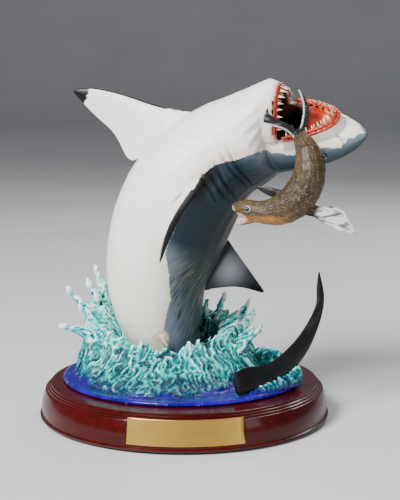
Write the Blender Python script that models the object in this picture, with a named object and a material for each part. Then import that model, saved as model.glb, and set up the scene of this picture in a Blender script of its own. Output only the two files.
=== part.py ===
# Resin display figure: a great white shark leaping from a splash with a seal in its jaws,
# on a turned wooden plinth with a brass name plate.
# Metres, +Z up, front of the plinth facing -Y, origin at the centre of the felt's underside.

import math

import bmesh
import bpy
from mathutils import Matrix, Vector

MM = 0.001

# Gap between pieces that touch
FIT = 0.3 * MM

# Felt and turned plinth
FELT_RADIUS = 106 * MM
FELT_THICKNESS = 1.5 * MM
PLINTH_RADIUS = 115 * MM
PLINTH_HEIGHT = 26.5 * MM
PLINTH_STEP_IN = 9 * MM
PLINTH_LIP_HEIGHT = 2.4 * MM
PLINTH_LIP_PROUD = 1.6 * MM
PLINTH_BULGE = 0.9 * MM
BEAD_HEIGHT = 1.7 * MM
BEAD_STEP = 1.5 * MM
PLINTH_SIDES = 48

# Name plate, bent round the front
PLATE_HALF_ARC = math.radians(22.3)
PLATE_TURN = math.radians(1.2)
PLATE_BOTTOM = 4.2 * MM
PLATE_HEIGHT = 19.0 * MM
PLATE_THICKNESS = 1.2 * MM
PLATE_RECESS = 1.3 * MM
PLATE_SEGMENTS = 16

# Screws that hold the water base, and the bolt that holds the shark
SCREW_SHANK_RADIUS = 2.0 * MM
SCREW_HEAD_RADIUS = 4.0 * MM
SCREW_HEAD_HEIGHT = 2.6 * MM
SCREW_INTO_SEA = 8.0 * MM
SCREW_CIRCLE = 62 * MM
SCREW_COUNT = 3
BOLT_SHANK_RADIUS = 2.5 * MM
BOLT_HEAD_RADIUS = 5.5 * MM
BOLT_HEAD_HEIGHT = 4.0 * MM
BOLT_INTO_BODY = 22 * MM
HEAD_SINK = 1.5 * MM
FASTENER_SIDES = 8

# Sea disc and splash crown
SEA_RADIUS = 96 * MM
SEA_CENTRE = (-1.0 * MM, 7.0 * MM)
SEA_THICKNESS = 3.4 * MM
SEA_RIM_ROUND = 1.4 * MM
SEA_RIM_WIDTH = 9 * MM
CROWN_CENTRE = (-8 * MM, 8 * MM)
WATERLINE = 24 * MM
CAVITY_RADIUS = 37 * MM
CAVITY_FLOOR_RADIUS = 24 * MM
CREST_OVERHANG = 46 * MM
CREST_ROUND = 1.5 * MM
CREST_SCALLOP = 1.7 * MM
RIB_COUNT = 16
RIB_HEIGHT = 1.5 * MM
SPLASH_SIDES = 64
SPIKE_TIP_RADIUS = 1.3 * MM
SPIKE_SIDES = 6
FOAM_HALF_WIDTH = 4.5 * MM
FOAM_SPREAD = 2.0 * MM

# Shark
SHARK_SIDES = 24
SHARK_STATIONS = 24
POCKET_STATIONS = 11
HEAD_STATIONS = 14
HEAD_SQUARENESS = 2.5
MOUTH_CORNER_WIDTH = 44 * MM
UPPER_JAW_LENGTH = 43 * MM
LOWER_JAW_LENGTH = 33 * MM
UPPER_JAW_SQUARENESS = 2.4
LOWER_JAW_SQUARENESS = 2.2
JAW_START = 4.0 * MM
GAPE = math.radians(78)
HEAD_YAW = math.radians(28)
HEAD_PITCH = math.radians(3.4)
HEAD_ROLL = math.radians(44)
JAW_ROOT_DROP = 13 * MM
LIP_SKIN = 1.4 * MM
LIP_HALF_WIDTH = 4.2 * MM
LIP_HALF_HEIGHT = 7.5 * MM
GUM_WIDTH = 3.4 * MM
GUM_HEIGHT = 2.0 * MM
GUM_ROOT = 2.2 * MM
UPPER_TOOTH = 5.6 * MM
LOWER_TOOTH = 5.0 * MM
TEETH_PER_JAW = 22
BARE_CORNER = 4
SEAL_BITE_ROOM = 17 * MM
THROAT_DEPTH = 26 * MM
GILL_DEPTH = 1.5 * MM
GILL_HALF_WIDTH = 0.7 * MM
GILL_OUTER = 1.2 * MM
PELVIC_THICKNESS = 2.6 * MM

# Fins
PECTORAL_THICKNESS = 6.0 * MM
DORSAL_THICKNESS = 6.5 * MM
TAIL_THICKNESS = 4.6 * MM
FIN_EDGE = 0.7 * MM
FIN_STATIONS = 10
TENON = 7 * MM

# Seal
SEAL_SIDES = 12
SEAL_STATIONS = 19
FLIPPER_THICKNESS = 2.4 * MM

PLINTH_FOOT = FELT_THICKNESS + FIT
PLINTH_TOP = PLINTH_FOOT + PLINTH_HEIGHT
SEA_FOOT = PLINTH_TOP + FIT
FACE_MOUTH_CORNER = 0.5 * MOUTH_CORNER_WIDTH

# Points of the figure below are (x, y, height over the wood) in millimetres.


def place(point):
    """Turn millimetres over the plinth's top into a point of the object's frame."""
    x, y, height = point[:3]
    return Vector((x * MM, y * MM, SEA_FOOT + height * MM))


def clear_scene():
    for item in list(bpy.context.scene.objects):
        bpy.data.objects.remove(item, do_unlink=True)


def paint(name, colour, roughness, metallic=0.0):
    """A plain finish for one sub-part."""
    material = bpy.data.materials.new(name)
    material.use_nodes = True
    shader = material.node_tree.nodes["Principled BSDF"]
    shader.inputs["Base Color"].default_value = (*colour, 1.0)
    shader.inputs["Roughness"].default_value = roughness
    shader.inputs["Metallic"].default_value = metallic
    return material


def finish(bm, name, material=None, crease=math.radians(40)):
    """Close a bmesh into a named, smooth-shaded object."""
    bm.normal_update()
    bmesh.ops.recalc_face_normals(bm, faces=bm.faces)
    mesh = bpy.data.meshes.new(name)
    bm.to_mesh(mesh)
    bm.free()
    mesh.shade_smooth()
    mesh.set_sharp_from_angle(angle=crease)
    if material:
        mesh.materials.append(material)
    item = bpy.data.objects.new(name, mesh)
    bpy.context.scene.collection.objects.link(item)
    return item


def as_cutter(item):
    item.hide_render = True
    item.display_type = "WIRE"
    return item


def join(target, other):
    """Fuse another closed shape into a piece."""
    step = target.modifiers.new("join_" + other.name, "BOOLEAN")
    step.operation = "UNION"
    step.solver = "EXACT"
    step.object = as_cutter(other)


def cut(target, other):
    """Take another closed shape out of a piece."""
    step = target.modifiers.new("cut_" + other.name, "BOOLEAN")
    step.operation = "DIFFERENCE"
    step.solver = "EXACT"
    step.object = as_cutter(other)


def spline(points, t):
    """Smooth curve through rows of numbers, t from 0 at the first row to 1 at the last."""
    last = len(points) - 1
    place_on = min(max(t, 0.0), 1.0) * last
    k = min(int(place_on), last - 1)
    u = place_on - k
    rows = [points[max(k - 1, 0)], points[k], points[k + 1], points[min(k + 2, last)]]
    value = []
    for a, b, c, d in zip(*rows):
        value.append(b + 0.5 * u * (c - a + u * (2 * a - 5 * b + 4 * c - d + u * (3 * (b - c) + d - a))))
    return value


def even_points(points, count):
    """Points at equal steps along a polyline."""
    lengths = [0.0]
    for a, b in zip(points, points[1:]):
        lengths.append(lengths[-1] + (b - a).length)
    found = []
    k = 0
    for i in range(count):
        want = lengths[-1] * i / (count - 1)
        while k < len(points) - 2 and lengths[k + 1] < want:
            k += 1
        share = (want - lengths[k]) / max(lengths[k + 1] - lengths[k], 1e-12)
        found.append(points[k].lerp(points[k + 1], min(max(share, 0.0), 1.0)))
    return found


def skin(rings, close_ends=True):
    """Loft a closed surface through rings that have the same number of points."""
    bm = bmesh.new()
    loops = [[bm.verts.new(point) for point in ring] for ring in rings]
    sides = len(loops[0])
    for lower, upper in zip(loops, loops[1:]):
        for k in range(sides):
            following = (k + 1) % sides
            bm.faces.new((lower[k], lower[following], upper[following], upper[k]))
    if close_ends:
        caps = [bm.faces.new(loops[0]), bm.faces.new(loops[-1])]
        bmesh.ops.poke(bm, faces=caps)
    return bm


def oval(centre, along_a, along_b, half_a, half_b, sides, squareness=2.0):
    """Ring of points, round at squareness 2 and boxier above it."""
    ring = []
    for k in range(sides):
        angle = math.tau * k / sides
        c, s = math.cos(angle), math.sin(angle)
        power = 2.0 / squareness
        a = math.copysign(abs(c) ** power, c) * half_a
        b = math.copysign(abs(s) ** power, s) * half_b
        ring.append(centre + along_a * a + along_b * b)
    return ring


def turned(name, profile, sides, material=None, crease=math.radians(40), centre=(0.0, 0.0)):
    """Solid of revolution from (radius, height) points that start and end on the axis."""
    bm = bmesh.new()
    verts = [bm.verts.new((radius, 0.0, height)) for radius, height in profile]
    edges = [bm.edges.new(pair) for pair in zip(verts, verts[1:])]
    bmesh.ops.spin(bm, geom=verts + edges, cent=(0, 0, 0), axis=(0, 0, 1), angle=math.tau, steps=sides,
                   use_merge=True)
    bmesh.ops.remove_doubles(bm, verts=bm.verts, dist=0.001 * MM)
    bmesh.ops.translate(bm, verts=bm.verts, vec=(centre[0], centre[1], 0.0))
    return finish(bm, name, material, crease)


def ball(name, centre, axes, radii, divisions=2):
    """Ellipsoid on three axes."""
    bm = bmesh.new()
    bmesh.ops.create_icosphere(bm, subdivisions=divisions, radius=1.0)
    turn = Matrix([axis.normalized() * radius for axis, radius in zip(axes, radii)]).transposed()
    for vert in bm.verts:
        vert.co = centre + turn @ vert.co
    return finish(bm, name)


# Plinth, felt, plate and fasteners


def plinth_wall(height):
    """Outer radius of the plinth at a height above its foot."""
    wall_foot = PLINTH_LIP_HEIGHT
    wall_top = PLINTH_HEIGHT - 3 * BEAD_HEIGHT
    share = min(max((height - wall_foot) / (wall_top - wall_foot), 0.0), 1.0)
    slope = (PLINTH_STEP_IN - PLINTH_LIP_PROUD - 3 * BEAD_STEP) * share ** 1.6
    return PLINTH_RADIUS - PLINTH_LIP_PROUD + PLINTH_BULGE * math.sin(math.pi * share) - slope


def make_plinth(material):
    wall_top = PLINTH_HEIGHT - 3 * BEAD_HEIGHT
    profile = [(0.0, 0.0), (PLINTH_RADIUS - 0.6 * MM, 0.0), (PLINTH_RADIUS, 0.7 * MM)]
    profile.append((PLINTH_RADIUS, PLINTH_LIP_HEIGHT - 0.5 * MM))
    steps = 5
    for k in range(steps + 1):
        height = PLINTH_LIP_HEIGHT + (wall_top - PLINTH_LIP_HEIGHT) * k / steps
        profile.append((plinth_wall(height), height))
    radius = plinth_wall(wall_top)
    for k in range(3):
        radius -= BEAD_STEP
        foot = wall_top + k * BEAD_HEIGHT
        profile.append((radius, foot + 0.25 * MM))
        profile.append((radius, foot + BEAD_HEIGHT - 0.1 * MM))
    profile.append((radius - 0.8 * MM, PLINTH_HEIGHT))
    profile.append((0.0, PLINTH_HEIGHT))
    raised = [(r, PLINTH_FOOT + h) for r, h in profile]
    return turned("plinth", raised, PLINTH_SIDES, material, math.radians(30))


def plate_bow(name, inset, outset, widen, material=None):
    """Bent strip on the plinth's front, between two depths from the wall."""
    low = PLATE_BOTTOM - widen
    high = PLATE_BOTTOM + PLATE_HEIGHT + widen
    radius_low = plinth_wall(PLATE_BOTTOM)
    radius_high = plinth_wall(PLATE_BOTTOM + PLATE_HEIGHT)
    slope = (radius_high - radius_low) / PLATE_HEIGHT
    half = PLATE_HALF_ARC + widen / PLINTH_RADIUS
    rings = []
    for k in range(PLATE_SEGMENTS + 1):
        angle = PLATE_TURN - math.pi / 2 - half + 2 * half * k / PLATE_SEGMENTS
        ring = []
        for height, depth in ((low, inset), (low, outset), (high, outset), (high, inset)):
            radius = radius_low + slope * (height - PLATE_BOTTOM) + depth
            ring.append((radius * math.cos(angle), radius * math.sin(angle), PLINTH_FOOT + height))
        rings.append(ring)
    bm = skin(rings, close_ends=False)
    bm.verts.ensure_lookup_table()
    bm.faces.new(bm.verts[:4])
    bm.faces.new(bm.verts[-4:])
    return finish(bm, name, material, math.radians(30))


def make_name_plate(material):
    back = FIT - PLATE_RECESS
    return plate_bow("name_plate", back, back + PLATE_THICKNESS, 0.0, material)


def fastener(name, head_radius, head_height, shank_radius, reach, centre, grow=0.0, material=None):
    """Headed screw or bolt that points up from under the plinth, or its hole when grown."""
    foot = PLINTH_FOOT + HEAD_SINK - (2 * HEAD_SINK if grow else 0.0)
    neck = PLINTH_FOOT + HEAD_SINK + head_height + grow
    tip = reach + grow
    profile = [(0.0, foot), (head_radius + grow, foot), (head_radius + grow, neck)]
    profile += [(shank_radius + grow, neck), (shank_radius + grow, tip - shank_radius)]
    profile += [(0.4 * shank_radius + grow, tip), (0.0, tip)]
    return turned(name, profile, FASTENER_SIDES, material, math.radians(30), centre)


def screw_places():
    places = []
    for k in range(SCREW_COUNT):
        angle = math.tau * k / SCREW_COUNT + math.pi / 2
        places.append((SCREW_CIRCLE * math.cos(angle), SCREW_CIRCLE * math.sin(angle)))
    return places


def screw(name, centre, grow=0.0, material=None):
    reach = SEA_FOOT + SCREW_INTO_SEA
    return fastener(name, SCREW_HEAD_RADIUS, SCREW_HEAD_HEIGHT, SCREW_SHANK_RADIUS, reach, centre, grow, material)


def bolt(name, grow=0.0, material=None):
    foot = place(TRUNK[0])
    reach = foot.z + BOLT_INTO_BODY
    return fastener(name, BOLT_HEAD_RADIUS, BOLT_HEAD_HEIGHT, BOLT_SHANK_RADIUS, reach, (foot.x, foot.y), grow, material)


# Shark: trunk stations are x, y, height, half depth, half width and turn of the belly to the front

TRUNK = [
    (-3.0, 12.2, 15.0, 20.5, 19.5, 42),
    (-8.0, 11.3, 23.0, 25.0, 24.0, 42),
    (-13.5, 10.0, 32.0, 29.5, 28.5, 40),
    (-19.2, 8.0, 52.0, 35.5, 34.5, 36),
    (-21.8, 6.0, 74.0, 39.3, 38.5, 28),
    (-19.7, 4.0, 94.0, 42.8, 41.5, 20),
    (-13.0, 1.5, 117.0, 45.8, 44.5, 15),
    (-4.4, -2.0, 138.5, 46.5, 45.0, 15),
    (5.5, -5.0, 156.0, 45.0, 43.5, 18),
    (17.5, -7.0, 170.5, 42.0, 41.0, 22),
    (31.0, -9.0, 181.5, 39.5, 38.5, 28),
    (45.0, -12.5, 189.5, 38.0, 36.5, 34),
    (57.5, -19.0, 197.5, 36.0, 33.0, 40),
]

# Gill slits: share of the trunk's length and degrees from the belly, from the top of each slit down
GILLS = [
    [(0.884, 53), (0.892, 73), (0.894, 94), (0.892, 115)],
    [(0.840, 57), (0.835, 76), (0.831, 95), (0.828, 114)],
    [(0.794, 62), (0.787, 80), (0.781, 100), (0.777, 120)],
    [(0.772, 66), (0.762, 80), (0.748, 96), (0.730, 113)],
]

# Pelvic fins: share of the trunk's length, degrees from the belly and millimetres over the skin
PELVIC = {
    "leading": [(0.226, 50, -4.0), (0.212, 50, 1.5), (0.186, 51, 4.5), (0.166, 52, 5.5)],
    "trailing": [(0.160, 50, -4.0), (0.158, 51, 0.5), (0.158, 52, 3.0), (0.158, 52, 5.0)],
}

# Throat sections from the neck to the lower lip: distance behind the lip, extra girth, roundness
THROAT_SECTIONS = [(10.0, 1.4, 0.5), (4.5, 0.7, 0.2), (0.0, 0.0, 0.05)]

# Mouth corners' midpoint
JAW_HINGE = (75.8, -27.0, 207.3)

# Upper head: reach along the snout, drop below the mouth, half depth, half width
HEAD = [
    (-34.0, -14.0, 31.0, 33.0),
    (-16.0, -17.0, 26.5, 30.0),
    (2.0, -19.0, 21.5, 27.0),
    (18.0, -20.0, 18.0, 25.0),
    (31.0, -20.5, 15.5, 22.0),
    (42.0, -21.0, 12.0, 17.5),
    (51.0, -21.0, 8.5, 12.0),
    (57.5, -20.5, 5.0, 6.5),
    (61.0, -20.0, 1.8, 2.0),
]


def head_axes():
    """Snout direction, belly direction and near-side direction of the head."""
    forward = Vector((math.cos(HEAD_PITCH) * math.cos(HEAD_YAW), -math.cos(HEAD_PITCH) * math.sin(HEAD_YAW),
                      math.sin(HEAD_PITCH)))
    upright = (Vector((0, 0, 1)) - forward * forward.z).normalized()
    sideways = forward.cross(upright).normalized()
    belly = upright * math.cos(HEAD_ROLL) + sideways * math.sin(HEAD_ROLL)
    near = sideways * math.cos(HEAD_ROLL) - upright * math.sin(HEAD_ROLL)
    return forward, belly, near


def jaw_axes():
    """Direction of the dropped lower jaw, and the direction that its teeth point."""
    forward, belly, near = head_axes()
    along = forward * math.cos(GAPE) + belly * math.sin(GAPE)
    toothward = forward * math.sin(GAPE) - belly * math.cos(GAPE)
    return along, toothward


def body_frame(centre, direction, turn):
    """Belly and near-side directions of a trunk section."""
    outward = Vector((-direction.z, 0.0, direction.x)).normalized()
    front = Vector((0, -1, 0))
    belly = outward * math.cos(turn) + front * math.sin(turn)
    belly = (belly - direction * belly.dot(direction)).normalized()
    near = belly.cross(direction).normalized()
    if near.dot(front) < 0:
        near.negate()
    return belly, near


def trunk_rings(grow=0.0):
    """Sections of the trunk from the tail end to the throat."""
    rings = []
    for k in range(SHARK_STATIONS):
        t = k / (SHARK_STATIONS - 1)
        row = spline(TRUNK, t)
        before = place(spline(TRUNK, max(t - 0.01, 0.0)))
        after = place(spline(TRUNK, min(t + 0.01, 1.0)))
        direction = (after - before).normalized()
        belly, near = body_frame(place(row), direction, math.radians(row[5]))
        centre = place(row)
        if grow and k == 0:
            centre = centre - direction * grow
        rings.append(oval(centre, belly, near, row[3] * MM + grow, row[4] * MM + grow, SHARK_SIDES))
    return rings


def throat_rings(grow=0.0):
    """Sections that carry the trunk on to the lower lip, rounder the further back they lie."""
    hinge = place(JAW_HINGE)
    forward, belly, near = head_axes()
    along, toothward = jaw_axes()
    rings = []
    for back, wider, roundness in THROAT_SECTIONS:
        middle = hinge + toothward * (grow - back * MM)
        reach = LOWER_JAW_LENGTH + LIP_SKIN + wider * MM + grow
        width = FACE_MOUTH_CORNER + LIP_SKIN + wider * MM + grow
        ring = []
        for k in range(SHARK_SIDES):
            angle = math.tau * k / SHARK_SIDES
            s, c = math.sin(angle), math.cos(angle)
            if c > 0:
                length = reach * ((1 - roundness) * (1 - abs(s) ** LOWER_JAW_SQUARENESS) + roundness * c)
            else:
                length = JAW_ROOT_DROP * c
            ring.append(middle + along * length + near * width * s)
        rings.append(ring)
    return rings


def make_trunk(grow=0.0):
    return skin(trunk_rings(grow) + throat_rings(grow))


def trunk_place(along, degrees, rise=0.0):
    """Point over the trunk's skin at a share of its length and an angle from the belly, and the outward way there."""
    row = spline(TRUNK, along)
    direction = (place(spline(TRUNK, min(along + 0.01, 1.0))) - place(spline(TRUNK, along - 0.01))).normalized()
    belly, near = body_frame(place(row), direction, math.radians(row[5]))
    angle = math.radians(degrees)
    outward = belly * math.cos(angle) * row[3] * MM + near * math.sin(angle) * row[4] * MM
    return place(row) + outward + outward.normalized() * rise, outward.normalized(), direction


def gill_slit(name, steps, side):
    """Groove of one gill slit, deepest in its middle; side is 1 near and -1 far."""
    rings = []
    last = len(steps) - 1
    for k, (along, degrees) in enumerate(steps):
        point, outward, direction = trunk_place(along, side * degrees)
        share = math.sin(math.pi * (0.08 + 0.84 * k / last))
        edge = direction * GILL_HALF_WIDTH * (0.5 + share)
        crown = point + outward * GILL_OUTER
        rings.append([crown + edge, point - outward * GILL_DEPTH * share - 0.6 * edge, crown - edge])
    bm = bmesh.new()
    loops = [[bm.verts.new(point) for point in ring] for ring in rings]
    for a, b in zip(loops, loops[1:]):
        for i in range(3):
            j = (i + 1) % 3
            bm.faces.new((a[i], a[j], b[j], b[i]))
    bm.faces.new(loops[0])
    bm.faces.new(loops[-1])
    return finish(bm, name)


def pelvic_fin(name, side, grow=0.0):
    """Small swept fin beside the belly, rooted in the skin; side is 1 near and -1 far."""
    edges = {"leading": [], "trailing": []}
    for edge, steps in PELVIC.items():
        for along, degrees, rise in steps:
            point = trunk_place(along, side * degrees, rise * MM + 2 * grow)[0]
            edges[edge].append((point.x / MM, point.y / MM, (point.z - SEA_FOOT) / MM))
    return fin(name, edges, PELVIC_THICKNESS, grow, tenon=False, stations=4)


def make_head(name, grow=0.0):
    hinge = place(JAW_HINGE)
    forward, belly, near = head_axes()
    rings = []
    for k in range(HEAD_STATIONS):
        reach, drop, depth, width = [value * MM for value in spline(HEAD, k / (HEAD_STATIONS - 1))]
        centre = hinge + forward * reach + belly * drop
        rings.append(oval(centre, belly, near, depth + grow, width + grow, SHARK_SIDES, HEAD_SQUARENESS))
    return finish(skin(rings), name)


def jaw_path(upper, count, inset=0.0):
    """Points along a jaw's arch, from the near corner to the far one."""
    hinge = place(JAW_HINGE)
    forward, belly, near = head_axes()
    along, toothward = jaw_axes()
    reach = UPPER_JAW_LENGTH if upper else LOWER_JAW_LENGTH
    direction = forward if upper else along
    squareness = UPPER_JAW_SQUARENESS if upper else LOWER_JAW_SQUARENESS
    fine = []
    for k in range(121):
        s = 1.0 - 2.0 * k / 120
        length = JAW_START + (reach - inset - JAW_START) * (1.0 - abs(s) ** squareness)
        fine.append(hinge + direction * length + near * (FACE_MOUTH_CORNER - inset) * s)
    return even_points(fine, count)


def sweep_frames(points, up):
    """Outward direction at each point of a flat arch."""
    last = len(points) - 1
    frames = []
    for k in range(last + 1):
        step = points[min(k + 1, last)] - points[max(k - 1, 0)]
        frames.append(step.cross(up).normalized())
    tip = points[last // 2]
    if frames[last // 2].dot(tip - (points[0] + points[last]) / 2) < 0:
        frames = [-outward for outward in frames]
    return frames


def make_lip(name, grow=0.0, over=0.0):
    """Rolled lip that carries the upper gum, or the room that it and the gum take."""
    forward, belly, near = head_axes()
    points = jaw_path(True, 22, 1.2 * MM)
    half_height = LIP_HALF_HEIGHT + 0.5 * over
    rings = []
    for point, outward in zip(points, sweep_frames(points, belly)):
        centre = point + belly * (over - half_height)
        rings.append(oval(centre, outward, belly, LIP_HALF_WIDTH + grow, half_height + grow, 10, 2.6))
    return finish(skin(rings), name)


def make_jaw(name, upper, grow=0.0, toothed=True, material=None):
    """Gum arch with its teeth, or the plain arch as a cutter when grown."""
    forward, belly, near = head_axes()
    along, toothward = jaw_axes()
    up = belly if upper else toothward
    count = 2 * TEETH_PER_JAW + 1
    points = jaw_path(upper, count, 1.6 * MM)
    if grow:
        points[0] = points[0] + (points[0] - points[1]).normalized() * grow
        points[-1] = points[-1] + (points[-1] - points[-2]).normalized() * grow
    frames = sweep_frames(points, up)
    bm = bmesh.new()
    loops = []
    for point, outward in zip(points, frames):
        corners = []
        for side, height in ((0.5, -GUM_ROOT - grow), (0.5, GUM_HEIGHT + grow), (-0.5, GUM_HEIGHT + grow),
                             (-0.5, -GUM_ROOT - grow)):
            wide = GUM_WIDTH + 2 * grow
            corners.append(bm.verts.new(point + outward * side * wide + up * height))
        loops.append(corners)
    tops = []
    for k, (a, b) in enumerate(zip(loops, loops[1:])):
        for i in range(4):
            j = (i + 1) % 4
            face = bm.faces.new((a[i], a[j], b[j], b[i]))
            if i == 1 and k % 2 == 1 and BARE_CORNER < k < count - 2 - BARE_CORNER:
                tops.append(face)
    bm.faces.new(loops[0])
    bm.faces.new(loops[-1])
    bmesh.ops.recalc_face_normals(bm, faces=bm.faces)
    if toothed:
        reach = UPPER_TOOTH if upper else LOWER_TOOTH
        kept = [face for face in tops if clear_of_seal(face.calc_center_median(), upper)]
        bmesh.ops.inset_individual(bm, faces=kept, thickness=0.25 * MM, depth=0.0)
        bmesh.ops.poke(bm, faces=kept, offset=reach)
    return finish(bm, name, material, math.radians(25))


def clear_of_seal(point, upper):
    """The seal lies across the near side of the upper jaw, so no teeth stand there."""
    seat = place(SEAL[1])
    return not upper or (point - seat).length > SEAL_BITE_ROOM


def throat_cutters():
    hinge = place(JAW_HINGE)
    forward, belly, near = head_axes()
    along, toothward = jaw_axes()
    inward = -(forward + along).normalized()
    across = inward.cross(near).normalized()
    palate = ball("palate_hollow", hinge + forward * 18 * MM + belly * 3 * MM, (forward, near, belly),
                  (19 * MM, 15 * MM, 12.5 * MM))
    floor = ball("tongue_hollow", hinge + along * 17 * MM + toothward * 3 * MM, (along, near, toothward),
                 (17.5 * MM, 15 * MM, 12 * MM))
    throat = ball("throat_hollow", hinge + inward * 4 * MM, (inward, near, across),
                  (THROAT_DEPTH, 15.5 * MM, 14 * MM))
    return palate, floor, throat


# Fins: leading and trailing edges as points, root first

RIGHT_PECTORAL = {
    "leading": [(7.8, 14, 210.3), (-19.7, 28, 215.2), (-51.1, 42, 225.0), (-76.6, 52, 229.7), (-91.5, 56, 227.5)],
    "trailing": [(-31.0, 14, 179.0), (-44.5, 27, 171.0), (-56.0, 38, 192.5), (-72.0, 48, 206.0), (-90.3, 56, 224.5)],
}
LEFT_PECTORAL = {
    "leading": [(19.5, -42, 168.5), (10.1, -58, 154.4), (-1.0, -76, 140.5), (-9.0, -91, 126.1), (-15.6, -103, 110.4)],
    "trailing": [(-8.0, -44, 144.0), (-20.5, -58, 133.5), (-17.0, -72, 127.5), (-15.5, -88, 118.5), (-16.4, -103, 109.0)],
}
DORSAL = {
    "leading": [(33.3, 13, 111.8), (45.4, 16, 94.3), (55.9, 19, 79.2), (64.6, 22, 66.4)],
    "trailing": [(16.5, 12, 68.9), (30.2, 14, 70.6), (45.0, 17, 70.6), (63.2, 22, 65.0)],
}
TAIL = {
    "leading": [(41.0, -72, 3.5), (59.4, -56, 5.0), (72.0, -45, 7.5), (83.5, -35.5, 12.5), (91.5, -28.5, 21.5),
                (98.8, -23.5, 31.0), (107.1, -18, 51.0), (110.0, -14, 66.0), (109.0, -12, 76.0), (106.2, -9, 88.0)],
    "trailing": [(36.0, -72, 19.0), (44.5, -63.5, 24.0), (59.5, -52, 22.3), (71.4, -44, 26.3), (85.6, -33, 37.1),
                 (93.2, -26, 45.8), (99.5, -20, 54.9), (103.7, -15, 64.3), (103.6, -12, 74.5), (105.4, -9, 87.0)],
}


def fin(name, edges, thickness, grow=0.0, tenon=True, material=None, stations=FIN_STATIONS):
    """Blade between a leading and a trailing edge, thickest a third of the way back."""
    leading = [place(spline(edges["leading"], k / (stations - 1))) for k in range(stations)]
    trailing = [place(spline(edges["trailing"], k / (stations - 1))) for k in range(stations)]
    if tenon:
        root = (leading[0] + trailing[0]) / 2
        inward = (root - (leading[1] + trailing[1]) / 2).normalized() * (TENON + grow)
        leading.insert(0, leading[0].lerp(trailing[0], 0.1) + inward)
        trailing.insert(0, trailing[0].lerp(leading[1], 0.1) + inward)
    chord_shares = (0.0, 0.05, 0.16, 0.34, 0.56, 0.8, 1.0)
    fullness = (0.0, 0.55, 0.85, 1.0, 0.85, 0.48, 0.0)
    rings = []
    last = len(leading) - 1
    for k in range(last + 1):
        chord = trailing[k] - leading[k]
        ahead = min(k + 1, last)
        behind = max(k - 1, 0)
        span = (leading[ahead] + trailing[ahead]) - (leading[behind] + trailing[behind])
        normal = chord.cross(span).normalized()
        along = chord.normalized()
        taper = 1.0 - 0.62 * k / last
        half = 0.5 * thickness * taper * min(1.0, 0.35 + chord.length / (12 * MM))
        upper, lower = [], []
        for share, full in zip(chord_shares, fullness):
            point = leading[k] + chord * share + along * grow * (2 * share - 1)
            rise = max(half * full, 0.5 * FIN_EDGE) + grow
            upper.append(point + normal * rise)
            lower.append(point - normal * rise)
        rings.append(upper + lower[::-1])
    return finish(skin(rings), name, material, math.radians(50))


# Seal: x, y, height and half thickness, tail first

SEAL = [
    (85.5, -50.0, 198.5, 4.5),
    (88.0, -57.5, 193.0, 7.0),
    (91.0, -63.0, 186.0, 9.3),
    (92.8, -66.0, 175.7, 11.2),
    (92.1, -67.0, 165.6, 12.4),
    (87.2, -66.0, 155.9, 13.3),
    (80.5, -65.0, 147.9, 13.0),
    (71.0, -63.0, 142.5, 11.3),
    (60.5, -60.5, 140.5, 9.0),
    (52.0, -58.5, 141.5, 7.6),
    (45.0, -57.0, 143.3, 6.6),
    (39.5, -56.0, 143.8, 4.0),
    (36.6, -55.6, 143.6, 2.0),
]
HIND_FLIPPER_OUT = {
    "leading": [(86.0, -53, 199.0), (78.5, -56, 204.5), (70.5, -58.5, 208.0), (64.0, -59.5, 211.5), (61.8, -58.5, 218.5)],
    "trailing": [(83.0, -55, 193.5), (76.0, -58, 200.0), (69.0, -60.5, 203.0), (59.0, -62, 205.5), (58.8, -60, 210.5)],
}
HIND_FLIPPER_UP = {
    "leading": [(84.0, -50, 196.0), (88.0, -47, 207.0), (89.0, -44, 217.0), (87.5, -42, 224.5), (85.0, -41, 230.5)],
    "trailing": [(88.0, -50, 197.0), (93.0, -47, 207.0), (94.0, -44, 216.0), (91.0, -42, 223.5), (86.6, -41, 230.2)],
}
FORE_FLIPPER_NEAR = {
    "leading": [(92.0, -66, 147.5), (101.0, -68, 145.5), (111.5, -70, 142.5), (121.5, -71.5, 134.5), (127.5, -72, 126.5)],
    "trailing": [(86.0, -67, 139.5), (97.5, -69, 137.5), (106.0, -70.5, 133.0), (115.5, -72, 128.5), (125.5, -72.5, 125.5)],
}
FORE_FLIPPER_FAR = {
    "leading": [(76.0, -56, 156.0), (69.0, -50, 157.0), (62.0, -46, 158.5), (55.5, -44, 159.0)],
    "trailing": [(72.0, -55, 149.0), (66.0, -50, 150.5), (59.5, -46, 153.5), (54.5, -44, 157.0)],
}
SEAL_JAW = [(53.0, -58.5, 137.5, 4.2), (47.0, -57.5, 134.5, 3.4), (42.0, -57.0, 132.6, 2.4), (39.5, -56.8, 132.3, 1.3)]


def tube(name, rows, stations, sides, material=None, tilt=Vector((0, 1, 0))):
    """Rounded body along a curve of (x, y, height, half thickness) rows."""
    rings = []
    for k in range(stations):
        t = k / (stations - 1)
        row = spline(rows, t)
        ahead = place(spline(rows, min(t + 0.02, 1.0)))
        behind = place(spline(rows, max(t - 0.02, 0.0)))
        direction = (ahead - behind).normalized()
        across = direction.cross(tilt).normalized()
        level = across.cross(direction).normalized()
        rings.append(oval(place(row), across, level, row[3] * MM, row[3] * MM, sides))
    return finish(skin(rings), name, material)


def make_seal(material):
    seal = tube("seal", SEAL, SEAL_STATIONS, SEAL_SIDES, material)
    join(seal, tube("seal_chin", SEAL_JAW, 6, 8))
    flippers = (("hind_out", HIND_FLIPPER_OUT), ("hind_up", HIND_FLIPPER_UP), ("fore_near", FORE_FLIPPER_NEAR),
                ("fore_far", FORE_FLIPPER_FAR))
    for name, edges in flippers:
        join(seal, fin("seal_" + name, edges, FLIPPER_THICKNESS, tenon=False, stations=6))
    cut(seal, make_head("head_room", FIT))
    cut(seal, make_lip("lip_room", FIT, GUM_HEIGHT + 2 * FIT))
    cut(seal, finish(make_trunk(FIT), "throat_room"))
    return seal


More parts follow.
